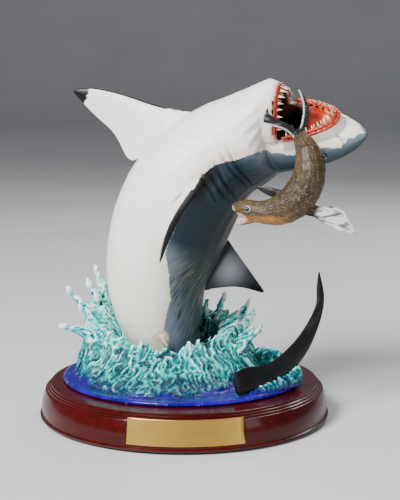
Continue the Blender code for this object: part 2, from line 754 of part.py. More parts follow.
# Splash: by angle round the crown, foot radius, crest radius, crest height over the wood and crest width
# Angles run from the right (0) through the back (90) and the left (180) to the front (270).

CROWN = [
    (0, 74, 50, 40, 14), (20, 76, 54, 46, 15), (40, 78, 52, 44, 12), (65, 84, 50, 42, 8), (90, 88, 52, 46, 6),
    (115, 86, 56, 52, 7), (140, 86, 62, 58, 9), (160, 85, 68, 62, 12), (180, 84, 66, 54, 11), (200, 84, 60, 40, 8),
    (225, 85, 48, 31, 5), (250, 86, 40, 27, 4), (270, 84, 38, 26, 4), (290, 78, 40, 29, 5), (315, 72, 44, 33, 9),
    (340, 70, 47, 37, 12),
]

# Spikes: foot and tip points, and foot radius, in millimetres
SPIKES = [
    ((-61, -14, 30), (-82, -18, 45), (-97.0, -20, 46.5), 8.0),
    ((-68, -2, 42), (-80, -2, 60), (-91.5, 0, 70.3), 8.0),
    ((-64, 16, 46), (-71, 17, 64), (-77.4, 15, 74.0), 7.0),
    ((-60, 28, 48), (-67, 30, 72), (-73.1, 30, 84.0), 6.5),
    ((-51, 45, 44), (-56, 50, 66), (-63, 55, 77), 7.0),
    ((-28, 56, 40), (-31, 61, 58), (-36, 73, 70), 7.0),
    ((-5, 56, 34), (-4, 61, 52), (-3, 74, 64), 7.0),
    ((14, 50, 30), (17, 52, 48), (18.5, 46, 55.5), 6.0),
    ((24, 43, 30), (28, 48, 48), (33, 56, 58), 6.0),
    ((38, 28, 32), (46, 28, 46), (51.8, 25, 55.5), 6.5),
    ((42, 14, 30), (50, 15, 43), (56.2, 14, 51.0), 6.0),
    ((40, -8, 26), (47, -12, 38), (54.0, -15, 44.0), 6.0),
    ((39, -13, 24), (52, -18, 37), (61.6, -20, 45.6), 6.0),
]

# Low foam along the tail's foot, and the curl of foam behind the tail: x, y and crest height
TAIL_FOAM = [(40.0, -70, 4.0), (59.4, -56.5, 8.5), (72.0, -46, 11.5), (82.5, -37, 15.5), (88.0, -30, 19.5)]
REAR_FOAM = [(50.0, 16, 24.0), (62.0, 10, 22.8), (71.0, 6, 22.3), (79.0, 4, 19.0), (85.0, 0, 12.0), (86.0, -9, 6.0)]


def crown_row(angle):
    """Foot radius, crest radius, crest height and crest width at an angle round the crown."""
    turn = angle % 360
    rows = CROWN + [(CROWN[0][0] + 360,) + CROWN[0][1:]]
    for a, b in zip(rows, rows[1:]):
        if a[0] <= turn <= b[0]:
            share = (turn - a[0]) / (b[0] - a[0])
            ease = share * share * (3 - 2 * share)
            return [p + (q - p) * ease for p, q in zip(a[1:], b[1:])]
    return list(CROWN[0][1:])


def ripple(angle, tier):
    """Main ribs of the falling water, twisted a little from tier to tier."""
    return math.sin(RIB_COUNT * angle + 0.9 * tier) + 0.45 * math.sin(5 * angle - 1.3 * tier)


def rim_radius(angle):
    """Distance from the crown's centre to the sea's rim circle, along an angle."""
    dx = CROWN_CENTRE[0] - SEA_CENTRE[0]
    dy = CROWN_CENTRE[1] - SEA_CENTRE[1]
    along = dx * math.cos(angle) + dy * math.sin(angle)
    return -along + math.sqrt(along * along - dx * dx - dy * dy + SEA_RADIUS ** 2)


def make_splash():
    """Sea disc and crown as one skin, read outwards in tiers from the underside to the waterline."""
    tiers = [[] for _ in range(12)]
    for k in range(SPLASH_SIDES):
        angle = math.tau * k / SPLASH_SIDES
        foot, crest, height, width = [value * MM for value in crown_row(math.degrees(angle))]
        rim = rim_radius(angle)
        foot = min(foot, rim - SEA_RIM_WIDTH)
        lean = 0.1 * max(crest - CREST_OVERHANG, 0.0)
        ribs = [ripple(angle, tier) * RIB_HEIGHT for tier in range(4)]
        scallop = ripple(angle, 4) * CREST_SCALLOP
        inner = crest - width
        cavity = min(inner - 2 * CREST_ROUND, CAVITY_RADIUS)
        ring = [
            (rim - SEA_RIM_ROUND, 0.0),
            (rim, 0.45 * SEA_THICKNESS),
            (rim - 0.8 * SEA_RIM_ROUND, SEA_THICKNESS),
            (foot + SEA_RIM_ROUND, 1.1 * SEA_THICKNESS),
            (foot - SEA_RIM_ROUND + 0.5 * ribs[0], 2.0 * SEA_THICKNESS),
            (foot * 0.75 + crest * 0.25 + ribs[1], SEA_THICKNESS + 0.26 * height),
            (foot * 0.42 + crest * 0.58 + ribs[2], SEA_THICKNESS + 0.52 * height),
            (foot * 0.14 + crest * 0.86 + lean + ribs[3], SEA_THICKNESS + 0.8 * height),
            (crest + 0.3 * CREST_ROUND, SEA_THICKNESS + height + scallop),
            (inner, SEA_THICKNESS + height - CREST_ROUND - 0.35 * width + 0.5 * scallop),
            (cavity, max(0.55 * height, WATERLINE - CREST_ROUND)),
            (CAVITY_FLOOR_RADIUS, WATERLINE - 2 * CREST_ROUND),
        ]
        for tier, (radius, rise) in zip(tiers, ring):
            centre_x, centre_y = CROWN_CENTRE
            tier.append((centre_x + radius * math.cos(angle), centre_y + radius * math.sin(angle), SEA_FOOT + rise))
    return skin(tiers)


def make_spike(name, foot, bend, tip, radius):
    """Finger of water that tapers to a rounded drop."""
    points = [foot, bend, tip]
    rows = []
    for k in range(6):
        t = k / 5
        x, y, h = [(1 - t) ** 2 * a + 2 * t * (1 - t) * b + t * t * c for a, b, c in zip(*points)]
        thick = radius * (1 - t) ** 1.2 + SPIKE_TIP_RADIUS / MM * min(1.0, 0.35 + t)
        rows.append((x, y, h, thick))
    x, y, h, thick = rows[-1]
    px, py, ph, _ = rows[-2]
    rows.append((x + 0.12 * (x - px), y + 0.12 * (y - py), h + 0.12 * (h - ph), 0.55 * thick))
    return tube(name, rows, 7, SPIKE_SIDES, tilt=Vector((0.3, 0.9, 0.1)))


def inside_rim(rows):
    """Foam rows, drawn in to the sea's middle where their feet would pass its rim."""
    room = SEA_RADIUS - FOAM_HALF_WIDTH - FOAM_SPREAD - 0.5 * SEA_RIM_ROUND
    middle_x, middle_y = [value / MM for value in SEA_CENTRE]
    widest = max(math.hypot(x - middle_x, y - middle_y) for x, y, h in rows) * MM
    share = min(1.0, room / widest)
    return [(middle_x + (x - middle_x) * share, middle_y + (y - middle_y) * share, h) for x, y, h in rows]


def make_foam(name, rows, stations):
    """Lumpy ridge of foam on the sea."""
    rings = []
    for k in range(stations):
        share = k / (stations - 1)
        x, y, h = spline(rows, share)
        crest = place((x, y, h + 1.2 * ripple(k * 0.55, 2)))
        step = place(spline(rows, min(share + 0.03, 1.0))) - place(spline(rows, max(share - 0.03, 0.0)))
        across = Vector((step.y, -step.x, 0.0)).normalized()
        foot = Vector((crest.x, crest.y, SEA_FOOT + 0.5 * SEA_THICKNESS))
        flank = foot.lerp(crest, 0.6)
        wide = across * FOAM_HALF_WIDTH
        spread = across * (FOAM_HALF_WIDTH + FOAM_SPREAD)
        top = wide * 0.35
        rings.append([foot - spread, foot + spread, flank + wide, crest + top, crest - top, flank - wide])
    return finish(skin(rings), name)


def make_water_base(material):
    water = finish(make_splash(), "water_base", material)
    for number, (foot, bend, tip, radius) in enumerate(SPIKES):
        join(water, make_spike(f"spike_{number}", foot, bend, tip, radius))
    join(water, make_foam("tail_foam", TAIL_FOAM, 15))
    join(water, make_foam("rear_foam", inside_rim(REAR_FOAM), 11))
    cut(water, finish(skin(trunk_rings(FIT)[:POCKET_STATIONS]), "body_pocket"))
    cut(water, pelvic_fin("far_pelvic_notch", -1, FIT))
    cut(water, fin("tail_slot", TAIL, TAIL_THICKNESS, FIT, tenon=False, stations=15))
    cut(water, bolt("bolt_hole_in_sea", FIT))
    for number, centre in enumerate(screw_places()):
        cut(water, screw(f"screw_hole_in_sea_{number}", centre, FIT))
    return water


def make_shark_body(material):
    body = finish(make_trunk(), "shark_body", material)
    join(body, make_head("upper_head"))
    join(body, make_lip("upper_lip"))
    join(body, pelvic_fin("near_pelvic_fin", 1))
    join(body, pelvic_fin("far_pelvic_fin", -1))
    cut(body, make_jaw("upper_gum_seat", True, FIT, toothed=False))
    cut(body, make_jaw("lower_gum_seat", False, FIT, toothed=False))
    for hollow in throat_cutters():
        cut(body, hollow)
    cut(body, fin("right_pectoral_socket", RIGHT_PECTORAL, PECTORAL_THICKNESS, FIT))
    cut(body, fin("left_pectoral_socket", LEFT_PECTORAL, PECTORAL_THICKNESS, FIT))
    cut(body, fin("dorsal_socket", DORSAL, DORSAL_THICKNESS, FIT))
    for number, steps in enumerate(GILLS):
        cut(body, gill_slit(f"near_gill_{number}", steps, 1))
        cut(body, gill_slit(f"far_gill_{number}", steps, -1))
    cut(body, bolt("bolt_hole_in_body", FIT))
    return body


def build():
    clear_scene()
    wood = paint("lacquered_wood", (0.16, 0.012, 0.01), 0.18)
    felt = paint("felt", (0.02, 0.05, 0.03), 0.95)
    brass = paint("brushed_brass", (0.72, 0.52, 0.22), 0.32, 1.0)
    steel = paint("zinc_plated_steel", (0.6, 0.6, 0.62), 0.35, 1.0)
    sea = paint("painted_sea", (0.1, 0.5, 0.52), 0.3)
    skin_paint = paint("painted_skin", (0.75, 0.74, 0.7), 0.35)
    fin_paint = paint("painted_fin", (0.05, 0.06, 0.07), 0.4)
    gum_paint = paint("gum_and_teeth", (0.55, 0.08, 0.05), 0.3)
    fur_paint = paint("painted_fur", (0.22, 0.13, 0.06), 0.5)

    plinth = make_plinth(wood)
    cut(plinth, plate_bow("plate_recess", -PLATE_RECESS, PLATE_RECESS + 2 * MM, FIT))
    cut(plinth, bolt("bolt_hole_in_wood", FIT))
    for number, centre in enumerate(screw_places()):
        cut(plinth, screw(f"screw_hole_in_wood_{number}", centre, FIT))
        screw(f"plinth_screw_{number + 1}", centre, material=steel)
    bolt("body_bolt", material=steel)
    make_name_plate(brass)
    felt_profile = [(0.0, 0.0), (FELT_RADIUS, 0.0), (FELT_RADIUS, FELT_THICKNESS), (0.0, FELT_THICKNESS)]
    turned("felt_pad", felt_profile, 48, felt, math.radians(30))

    make_water_base(sea)
    make_shark_body(skin_paint)
    make_jaw("upper_jaw", True, material=gum_paint)
    make_jaw("lower_jaw", False, material=gum_paint)
    fin("right_pectoral_fin", RIGHT_PECTORAL, PECTORAL_THICKNESS, material=skin_paint)
    fin("left_pectoral_fin", LEFT_PECTORAL, PECTORAL_THICKNESS, material=skin_paint)
    fin("dorsal_fin", DORSAL, DORSAL_THICKNESS, material=fin_paint)
    fin("caudal_fin", TAIL, TAIL_THICKNESS, tenon=False, material=fin_paint, stations=15)
    make_seal(fur_paint)


build()
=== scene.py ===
# Display figure of a great white shark that leaps from a splash with a seal in its jaws, on a turned
# wooden plinth: the skin, mouth, fur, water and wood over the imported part.
# Metres in the part's frame. Names ending in _MM hold millimetres, as the part's own drawing does.

import math

import bmesh
import bpy
import numpy as np
from mathutils import Matrix, Vector, noise


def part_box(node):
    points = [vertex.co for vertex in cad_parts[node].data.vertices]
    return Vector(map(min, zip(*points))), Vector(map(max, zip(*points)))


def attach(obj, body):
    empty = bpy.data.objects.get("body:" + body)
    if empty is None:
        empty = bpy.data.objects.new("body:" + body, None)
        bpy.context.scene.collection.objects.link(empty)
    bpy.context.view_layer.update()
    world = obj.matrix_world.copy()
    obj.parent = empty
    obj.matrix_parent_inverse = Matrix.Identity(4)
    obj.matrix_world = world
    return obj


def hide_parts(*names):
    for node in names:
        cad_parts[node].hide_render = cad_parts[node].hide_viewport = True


MM = 0.001

# Camera that took the photograph, as a 400 x 500 frame
CAMERA_PLACE = (0.0125, -0.98927, 0.27808)
CAMERA_TILT = math.radians(8.4)
CAMERA_LENS = 91.15
CAMERA_SENSOR = 36.0
FIGURE_MIDDLE = (0, 0, 0.13)

# Plinth, plate and the disc of sea on it
SPIN_STEPS = 192
PLINTH_EDGE = 0.45 * MM
PLATE_EDGE = 0.25 * MM
PLATE_GAP = 0.3 * MM
PLATE_RISE = 3 * MM
SEA_SHIFT_MM = (-1.0, 7.0)

# Distances within which points are one
WELD = 0.005 * MM
MERGE = 0.001 * MM

# Cubes that the even skins are rebuilt from, and the pulls that smooth them without shrinking them
BODY_VOXEL = 1.1 * MM
WATER_VOXEL = 1.03 * MM
SEAL_VOXEL = 0.55 * MM
SMOOTH_IN = 0.5
SMOOTH_OUT = 0.52

# Line down the middle of the shark: x, y, z in mm and the belly's turn to the front in degrees
SPINE_MM = [
    (-3.0, 12.2, 43.6, 42), (-8.0, 11.3, 51.6, 42), (-13.5, 10.0, 60.6, 40), (-19.2, 8.0, 80.6, 36),
    (-21.8, 6.0, 102.6, 28), (-19.7, 4.0, 122.6, 20), (-13.0, 1.5, 145.6, 15), (-4.4, -2.0, 167.1, 15),
    (5.5, -5.0, 184.6, 18), (17.5, -7.0, 199.1, 22), (31.0, -9.0, 210.1, 28),
]

# Middle of the head: reach along the snout and drop below the mouth, in mm
HEAD_LINE_MM = [(-16, -17), (2, -19), (18, -20), (31, -20.5), (42, -21), (51, -21), (61, -20)]

# Mouth corners' midpoint, and the head's turns
JAW_HINGE_MM = (75.8, -27.0, 235.9)
HEAD_YAW = math.radians(28)
HEAD_PITCH = math.radians(3.4)
HEAD_ROLL = math.radians(44)
GAPE = math.radians(78)
JAW_START_MM = 4.0
UPPER_JAW_MM = 43.0
LOWER_JAW_MM = 33.0
MOUTH_HALF_WIDTH_MM = 22.0
UPPER_SQUARENESS = 2.4
LOWER_SQUARENESS = 2.2
LIP_POINTS = 120

# Edge between belly and back: distance along the shark in mm, and degrees round from the belly
SHADE_EDGE = [
    (0, 42), (24, 45), (30, 51), (45, 64), (62, 79), (84, 83), (103, 77), (120, 78), (140, 79), (160, 75),
    (175, 67), (185, 68), (195, 71), (208, 67), (225, 64), (244, 70), (255, 75), (264, 67), (275, 68),
    (280, 63), (285, 74), (290, 68), (296, 52), (299, 10), (306, 0),
]

# Gill slits, front one first: distance along the shark in mm and degrees round from the belly
NEAR_SLITS = [
    [(190.6, 54), (191, 74), (193.6, 94), (197, 114)],
    [(185.8, 58), (185.8, 77), (188, 96), (190.6, 114)],
    [(180.6, 62), (179.2, 80), (176, 100), (172.8, 121)],
    [(177.9, 65), (174.1, 79), (170, 96), (166.7, 113)],
    [(171, 66), (168, 76), (165, 88), (161, 100)],
]
FAR_SLITS = [
    [(196.9, 48), (200.5, 66), (204.2, 88), (208, 111)],
    [(188, 55), (188, 75), (190.6, 95), (193.6, 115)],
    [(180.6, 63), (178, 82), (176.6, 102), (174, 121)],
    [(176.6, 68), (174.1, 81), (170, 96), (166.7, 114)],
    NEAR_SLITS[4],
]

# Leading edges of the side fins, root first, and the pale edges of the seal's hind flippers: paint and
# painted reflection
NEAR_LEADING_MM = [
    (19.5, -42, 197.1), (10.1, -58, 183.0), (-1, -76, 169.1), (-9, -91, 154.7), (-15.6, -103, 139.0),
]
FAR_LEADING_MM = [
    (7.8, 14, 238.9), (-19.7, 28, 243.8), (-51.1, 42, 253.6), (-76.6, 52, 258.3), (-91.5, 56, 256.1),
]
HIND_PALE_EDGES_MM = [
    [(84, -50, 224.6), (88, -47, 235.6), (89, -44, 245.6), (87.5, -42, 253.1), (85, -41, 259.1)],
    [(83, -55, 222.1), (76, -58, 228.6), (69, -60.5, 231.6), (59, -62, 234.1)],
]

# Nostril on the near side of the snout
NOSTRIL_MM = [(114.6, -47.1, 224.3), (116.8, -48.2, 223.2), (118.4, -48.3, 221.3)]

# Dark root of the near side fin, and the small fin beside the belly
ROOT_MM = [(19, -43, 198), (8, -50, 184)]
PELVIC_MM = [(-18, -25, 66), (-9, -29, 56)]

# Near eye, and the radius and lift of both eyes
EYE_MM = (105.2, -44.6, 209.9)
EYE_RADIUS_MM = 2.3
EYE_LIFT_MM = 0.7

# Gill slits and nostrils: girth of the neck for each degree, the groove and the lips beside it
MM_PER_DEGREE = 0.68
SLIT_HALF_WIDTH_MM = 0.8
SLIT_DEPTH_MM = 1.3
NOSTRIL_DEPTH_MM = 0.9
SLIT_LIP_MM = 2.2
SLIT_LIP_HALF_WIDTH_MM = 1.3

# Fin roots: middle in mm and outward direction, with the length and swell of the stub that joins the skin
STUB_MM = 7
STUB_SWELL_MM = 0.35
FIN_ROOTS = {
    "left_pectoral_fin": ((5.8, -43.0, 184.9), (-11.0, -15.0, -12.3)),
    "right_pectoral_fin": ((-11.6, 14.0, 223.3), (-20.5, 13.5, -1.6)),
    "dorsal_fin": ((24.9, 12.5, 119.0), (12.9, 2.5, -8.0)),
}

# Seal: eye, nose, near fore flipper, the open mouth's two ends and the teeth (x, z, way up, height)
SEAL_EYE_MM = (47.9, -63.4, 171.6)
SEAL_NOSE_MM = (37.4, -56.5, 171.4)
SEAL_FLIPPER_MM = [(97.7, -72.0, 169.2), (123.5, -72.0, 155.9)]
SEAL_GAPE_MM = [(43.6, -58.0, 164.8), (38.0, -57.0, 162.6)]
SEAL_TEETH_MM = [
    (40.0, 162.0, 1, 2.0), (41.5, 162.6, 1, 1.6), (43.0, 163.2, 1, 1.5), (40.8, 168.6, -1, 1.9),
    (43.4, 167.6, -1, 1.6),
]
SEAL_TEETH_DEPTH_MM = -58.6

# Line down the middle of the seal, from the hind flippers to the nose: x, y, z and radius
SEAL_LINE_MM = [
    (85.5, -50.0, 227.1, 4.5), (88.0, -57.5, 221.6, 7.0), (91.0, -63.0, 214.6, 9.3),
    (92.8, -66.0, 204.3, 11.2), (92.1, -67.0, 194.2, 12.4), (87.2, -66.0, 184.5, 13.3),
    (80.5, -65.0, 176.5, 13.0), (71.0, -63.0, 171.1, 11.3), (60.5, -60.5, 169.1, 9.0),
    (52.0, -58.5, 170.1, 7.6), (45.0, -57.0, 171.9, 6.6), (39.5, -56.0, 172.4, 4.0),
    (36.6, -55.6, 172.2, 2.0),
]

# Number of small spikes on the splash, its middle, the top of the wood and where the foam is cut off over it
SPRAY_COUNT = 30
CROWN_MIDDLE_MM = (-8.0, 8.0)
SEA_FOOT_MM = 28.6
FOAM_FOOT_MM = SEA_FOOT_MM + 2.4

# Colours that more than one finish uses
NEAR_BLACK = (0.004, 0.005, 0.006)
FIN_WHITE = (0.88, 0.87, 0.84)

# Middle of the painted highlight on the back fin
PAINTED_HIGHLIGHT_MIDDLE = (0.036, 0.0125, 0.1135)

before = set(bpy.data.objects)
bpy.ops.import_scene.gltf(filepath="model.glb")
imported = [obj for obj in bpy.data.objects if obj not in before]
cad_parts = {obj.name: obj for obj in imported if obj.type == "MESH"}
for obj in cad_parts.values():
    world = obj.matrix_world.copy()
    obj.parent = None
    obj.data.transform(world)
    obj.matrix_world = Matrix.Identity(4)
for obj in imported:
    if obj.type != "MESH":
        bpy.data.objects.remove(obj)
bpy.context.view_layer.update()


# Meshes


def add_piece(name, bm):
    """Turn a bmesh into a smooth object of the scene."""
    mesh = bpy.data.meshes.new(name)
    bm.to_mesh(mesh)
    bm.free()
    mesh.shade_smooth()
    item = bpy.data.objects.new(name, mesh)
    bpy.context.scene.collection.objects.link(item)
    return item


def welded(node):
    """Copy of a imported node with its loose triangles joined."""
    bm = bmesh.new()
    bm.from_mesh(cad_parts[node].data)
    bmesh.ops.remove_doubles(bm, verts=bm.verts, dist=WELD)
    return bm


def closed(bm):
    """Merge the points of a seam and turn every face outwards."""
    bmesh.ops.remove_doubles(bm, verts=bm.verts, dist=MERGE)
    bmesh.ops.recalc_face_normals(bm, faces=bm.faces)
    return bm


def turned(profile):
    """Solid of revolution from (radius, height) places in metres."""
    bm = bmesh.new()
    verts = [bm.verts.new((radius, 0, height)) for radius, height in profile]
    edges = [bm.edges.new(pair) for pair in zip(verts, verts[1:])]
    bmesh.ops.spin(bm, geom=verts + edges, cent=(0, 0, 0), axis=(0, 0, 1), angle=math.tau, steps=SPIN_STEPS,
                   use_merge=True)
    return closed(bm)


def picked(items, kind):
    return [item for item in items if isinstance(item, kind)]


def sliced(bm, place, outward):
    """Take away what lies beyond a plane, and give the rim that is left open."""
    cut = bmesh.ops.bisect_plane(bm, geom=bm.verts[:] + bm.edges[:] + bm.faces[:], plane_co=place,
                                 plane_no=outward, clear_outer=True)
    return picked(cut["geom_cut"], bmesh.types.BMEdge)


def apply_modifiers(item):
    """Keep the shape that the modifiers give, and drop them."""
    graph = bpy.context.evaluated_depsgraph_get()
    graph.update()
    mesh = bpy.data.meshes.new_from_object(item.evaluated_get(graph))
    item.modifiers.clear()
    old = item.data
    item.data = mesh
    bpy.data.meshes.remove(old)
    mesh.name = item.name
    mesh.shade_smooth()
    return item


def even_mesh(item, voxel):
    """Rebuild a closed shape, or several that overlap, as one even skin."""
    step = item.modifiers.new("even", "REMESH")
    step.mode = "VOXEL"
    step.voxel_size = voxel
    return apply_modifiers(item)


def ease_edges(item, width, segments, angle):
    """Small round on each edge that turns by more than an angle in degrees."""
    edge = item.modifiers.new("eased_edges", "BEVEL")
    edge.width = width
    edge.segments = segments
    edge.limit_method = "ANGLE"
    edge.angle_limit = math.radians(angle)
    item.data.set_sharp_from_angle(angle=math.radians(50))


def read(items, key, width, kind=np.float32):
    """Numbers of a mesh's points or edges, a row for each."""
    flat = np.empty(len(items) * width, kind)
    items.foreach_get(key, flat)
    return flat.reshape(-1, width)


def points_of(mesh):
    return read(mesh.vertices, "co", 3).astype(float)


def set_points(mesh, points):
    mesh.vertices.foreach_set("co", points.astype(np.float32).ravel())
    mesh.update()


def normals_of(mesh):
    return read(mesh.vertex_normals, "vector", 3).astype(float)


def averager(mesh):
    """Function that gives every point the mean of its neighbours."""
    pairs = read(mesh.edges, "vertices", 2, np.int32)
    count = len(mesh.vertices)
    near = np.bincount(pairs.ravel(), minlength=count).clip(1)

    def mean(points):
        total = np.empty_like(points)
        for axis in range(3):
            total[:, axis] = np.bincount(pairs[:, 0], points[pairs[:, 1], axis], count)
            total[:, axis] += np.bincount(pairs[:, 1], points[pairs[:, 0], axis], count)
        return total / near[:, None]
    return mean


def relax(mesh, rounds, amount=None):
    """Smooth a skin without shrinking it, more where amount is higher."""
    points = points_of(mesh)
    mean = averager(mesh)
    share = np.ones(len(points)) if amount is None else amount
    for turn in range(2 * rounds):
        pull = SMOOTH_IN if turn % 2 == 0 else -SMOOTH_OUT
        points += (pull * share)[:, None] * (mean(points) - points)
    set_points(mesh, points)


def stand_out(mesh, rounds):
    """How far each point stands out of its smoothed surroundings in mm, less than 0 in grooves."""
    mean = averager(mesh)
    start = points_of(mesh)
    points = start.copy()
    for _ in range(rounds):
        points += 0.6 * (mean(points) - points)
    return ((start - points) * normals_of(mesh)).sum(1) / MM


def push(mesh, distance):
    """Move each point along its normal."""
    set_points(mesh, points_of(mesh) + normals_of(mesh) * distance[:, None])


def write_attributes(mesh, **named):
    """Keep a number, or a vector, for each point under the names that materials read."""
    for name, values in named.items():
        values = np.asarray(values, np.float32)
        kind, key = ("FLOAT_VECTOR", "vector") if values.ndim == 2 else ("FLOAT", "value")
        mesh.attributes.new(name, kind, "POINT").data.foreach_set(key, values.ravel())


def line_distance(points, rows):
    """Distance from each point to a line through rows of places, and the share along it."""
    best = np.full(len(points), 1e9)
    share = np.zeros(len(points))
    rows = np.array(rows, float)
    for k, (a, b) in enumerate(zip(rows, rows[1:])):
        run = b - a
        t = np.clip(((points - a) @ run) / (run @ run), 0, 1)
        gap = np.linalg.norm(points - a - t[:, None] * run, axis=1)
        share = np.where(gap < best, (k + t) / (len(rows) - 1), share)
        best = np.minimum(best, gap)
    return best, share


def gap_to_line(points, rows):
    return line_distance(points, rows)[0]


def unit(rows):
    return rows / np.linalg.norm(rows, axis=1)[:, None]


def reach_along(line):
    """Distance from the first point of a line to each of its points."""
    return np.concatenate(([0], np.cumsum(np.linalg.norm(np.diff(line, axis=0), axis=1))))


def wander(points, size_mm, seed=0.0, stretch=(1, 1, 1)):
    """Smooth random values from -1 to 1 at points in mm, with hills about size_mm apart."""
    scaled = points / size_mm / np.array(stretch, float) + seed
    return np.array([noise.noise(Vector(p)) for p in scaled])


def smooth_step(low, high, values):
    share = np.clip((values - low) / (high - low), 0, 1)
    return share * share * (3 - 2 * share)


def curve_through(rows, count):
    """Smooth curve with count points through rows of numbers."""
    rows = np.asarray(rows, float)
    last = len(rows) - 1
    found = []
    for t in np.linspace(0, last, count):
        k = min(int(t), last - 1)
        u = t - k
        a, b, c, d = rows[max(k - 1, 0)], rows[k], rows[k + 1], rows[min(k + 2, last)]
        found.append(b + 0.5 * u * (c - a + u * (2 * a - 5 * b + 4 * c - d + u * (3 * (b - c) + d - a))))
    return np.array(found)


# Materials


class Finish:
    """One painted or turned finish, built from shader nodes."""

    def __init__(self, name, **values):
        self.material = bpy.data.materials.new(name)
        self.material.use_nodes = True
        self.tree = self.material.node_tree
        self.shader = self.tree.nodes["Principled BSDF"]
        self.here = self.add("ShaderNodeTexCoord").outputs["Object"]
        for key, value in values.items():
            self.shader.inputs[key.replace("_", " ").title().replace("Ior", "IOR")].default_value = value

    def add(self, kind, inputs=(), **settings):
        made = self.tree.nodes.new(kind)
        for key, value in settings.items():
            setattr(made, key, value)
        for key, value in dict(inputs).items():
            self.feed(made.inputs[key], value)
        return made

    def feed(self, socket, value):
        if isinstance(value, bpy.types.NodeSocket):
            self.tree.links.new(value, socket)
        else:
            socket.default_value = value

    def attribute(self, name, socket="Fac"):
        return self.add("ShaderNodeAttribute", attribute_name=name).outputs[socket]

    def stretched(self, scale, vector=None, turn=0.0):
        """Places turned in their own plane first, and then scaled."""
        inputs = {"Vector": vector or self.here, "Rotation": (0, 0, turn)}
        slanted = self.add("ShaderNodeMapping", inputs).outputs[0]
        return self.add("ShaderNodeMapping", {"Vector": slanted, "Scale": scale}).outputs[0]

    def ridges(self, scale, detail, vector):
        """Thin bright lines between the hills of a noise."""
        slope = self.math("ABSOLUTE", self.swing(scale, detail, 0.5, vector))
        return self.math("SUBTRACT", 1.0, self.times(slope, 7.0), clamp=True)

    def noise(self, scale, detail=4.0, rough=0.55, distortion=0.0, vector=None):
        inputs = {"Vector": vector or self.here, "Scale": scale, "Detail": detail, "Roughness": rough,
                  "Distortion": distortion}
        return self.add("ShaderNodeTexNoise", inputs).outputs["Fac"]

    def swing(self, scale, detail, rough, vector=None):
        """Noise that swings about 0."""
        return self.math("SUBTRACT", self.noise(scale, detail, rough, 0.0, vector), 0.5)

    def math(self, operation, a, b=0.0, clamp=False):
        made = self.add("ShaderNodeMath", operation=operation, use_clamp=clamp)
        self.feed(made.inputs[0], a)
        self.feed(made.inputs[1], b)
        return made.outputs[0]

    def times(self, a, b):
        return self.math("MULTIPLY", a, b)

    def plus(self, a, b, share=1.0):
        """The first value and a share of the second."""
        return self.math("ADD", a, b if share == 1.0 else self.times(b, share))

    def span(self, value, low, high, to_low=0.0, to_high=1.0):
        inputs = {"Value": value, "From Min": low, "From Max": high, "To Min": to_low, "To Max": to_high}
        return self.add("ShaderNodeMapRange", inputs, clamp=True).outputs[0]

    def ramp(self, value, stops):
        made = self.add("ShaderNodeValToRGB", {"Fac": value})
        band = made.color_ramp
        while len(band.elements) < len(stops):
            band.elements.new(0.5)
        for element, (place, colour) in zip(band.elements, stops):
            element.position = place
            element.color = (*colour, 1.0)
        return made.outputs["Color"]

    def mix(self, share, a, b):
        made = self.add("ShaderNodeMix", data_type="RGBA")
        self.feed(made.inputs[0], share)
        for socket, value in ((made.inputs[6], a), (made.inputs[7], b)):
            self.feed(socket, value if isinstance(value, bpy.types.NodeSocket) else (*value, 1.0))
        return made.outputs[2]

    def painted(self, colour, grain, rough, height=None, depth_mm=0.0, strength=1.0):
        """Close the finish: its colour, its roughness from a grain and the height of its surface."""
        self.feed(self.shader.inputs["Base Color"], colour)
        self.feed(self.shader.inputs["Roughness"], self.span(grain, 0.2, 0.8, *rough))
        if height:
            inputs = {"Height": height, "Distance": depth_mm * MM, "Strength": strength}
            self.feed(self.shader.inputs["Normal"], self.add("ShaderNodeBump", inputs).outputs["Normal"])
        return self

    def shades(self, value, colour, low, high):
        """A colour that runs between two shares of itself."""
        ends = [tuple(share * part for part in colour) for share in (low, high)]
        return self.ramp(value, [(0.3, ends[0]), (0.7, ends[1])])


def dress(item, finish):
    item.data.materials.clear()
    item.data.materials.append(finish.material)


def coat(item, finish):
    """Give a new piece its finish and its body."""
    dress(item, finish)
    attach(item, "root")
    return item


def lacquered_mahogany():
    wood = Finish("lacquered_mahogany", coat_weight=0.2, coat_roughness=0.1, specular_ior_level=0.15)
    grain = wood.noise(1.0, 6, 0.6, 0.6, wood.stretched((9, 150, 150)))
    fine = wood.noise(1.0, 3, 0.5, 0.2, wood.stretched((40, 900, 900)))
    cloud = wood.noise(14, 3)
    tone = wood.plus(wood.times(grain, 0.6), fine, 0.4)
    colour = wood.ramp(tone, [(0.25, (0.020, 0.0008, 0.0008)), (0.52, (0.055, 0.002, 0.0015)),
                              (0.78, (0.095, 0.005, 0.003))])
    colour = wood.mix(wood.span(cloud, 0.35, 0.7, 0.0, 0.5), colour, (0.04, 0.0015, 0.002))
    return wood.painted(colour, fine, (0.2, 0.3), tone, 0.04, 0.3)


def brushed_brass():
    brass = Finish("brushed_brass", metallic=1.0)
    strokes = brass.noise(1.0, 3, 0.7, 0.0, brass.stretched((60, 60, 4200)))
    cloud = brass.noise(38, 3)
    colour = brass.ramp(strokes, [(0.2, (0.62, 0.35, 0.06)), (0.8, (0.84, 0.56, 0.15))])
    colour = brass.mix(brass.span(cloud, 0.3, 0.8, 0, 0.5), colour, (0.66, 0.38, 0.08))
    return brass.painted(colour, strokes, (0.26, 0.42), strokes, 0.02, 0.5)


def green_felt():
    felt = Finish("green_felt", sheen_weight=0.5)
    nap = felt.noise(2600, 4, 0.8)
    colour = felt.ramp(nap, [(0.3, (0.008, 0.02, 0.012)), (0.7, (0.03, 0.06, 0.04))])
    return felt.painted(colour, nap, (0.92, 0.98), nap, 0.2, 0.8)


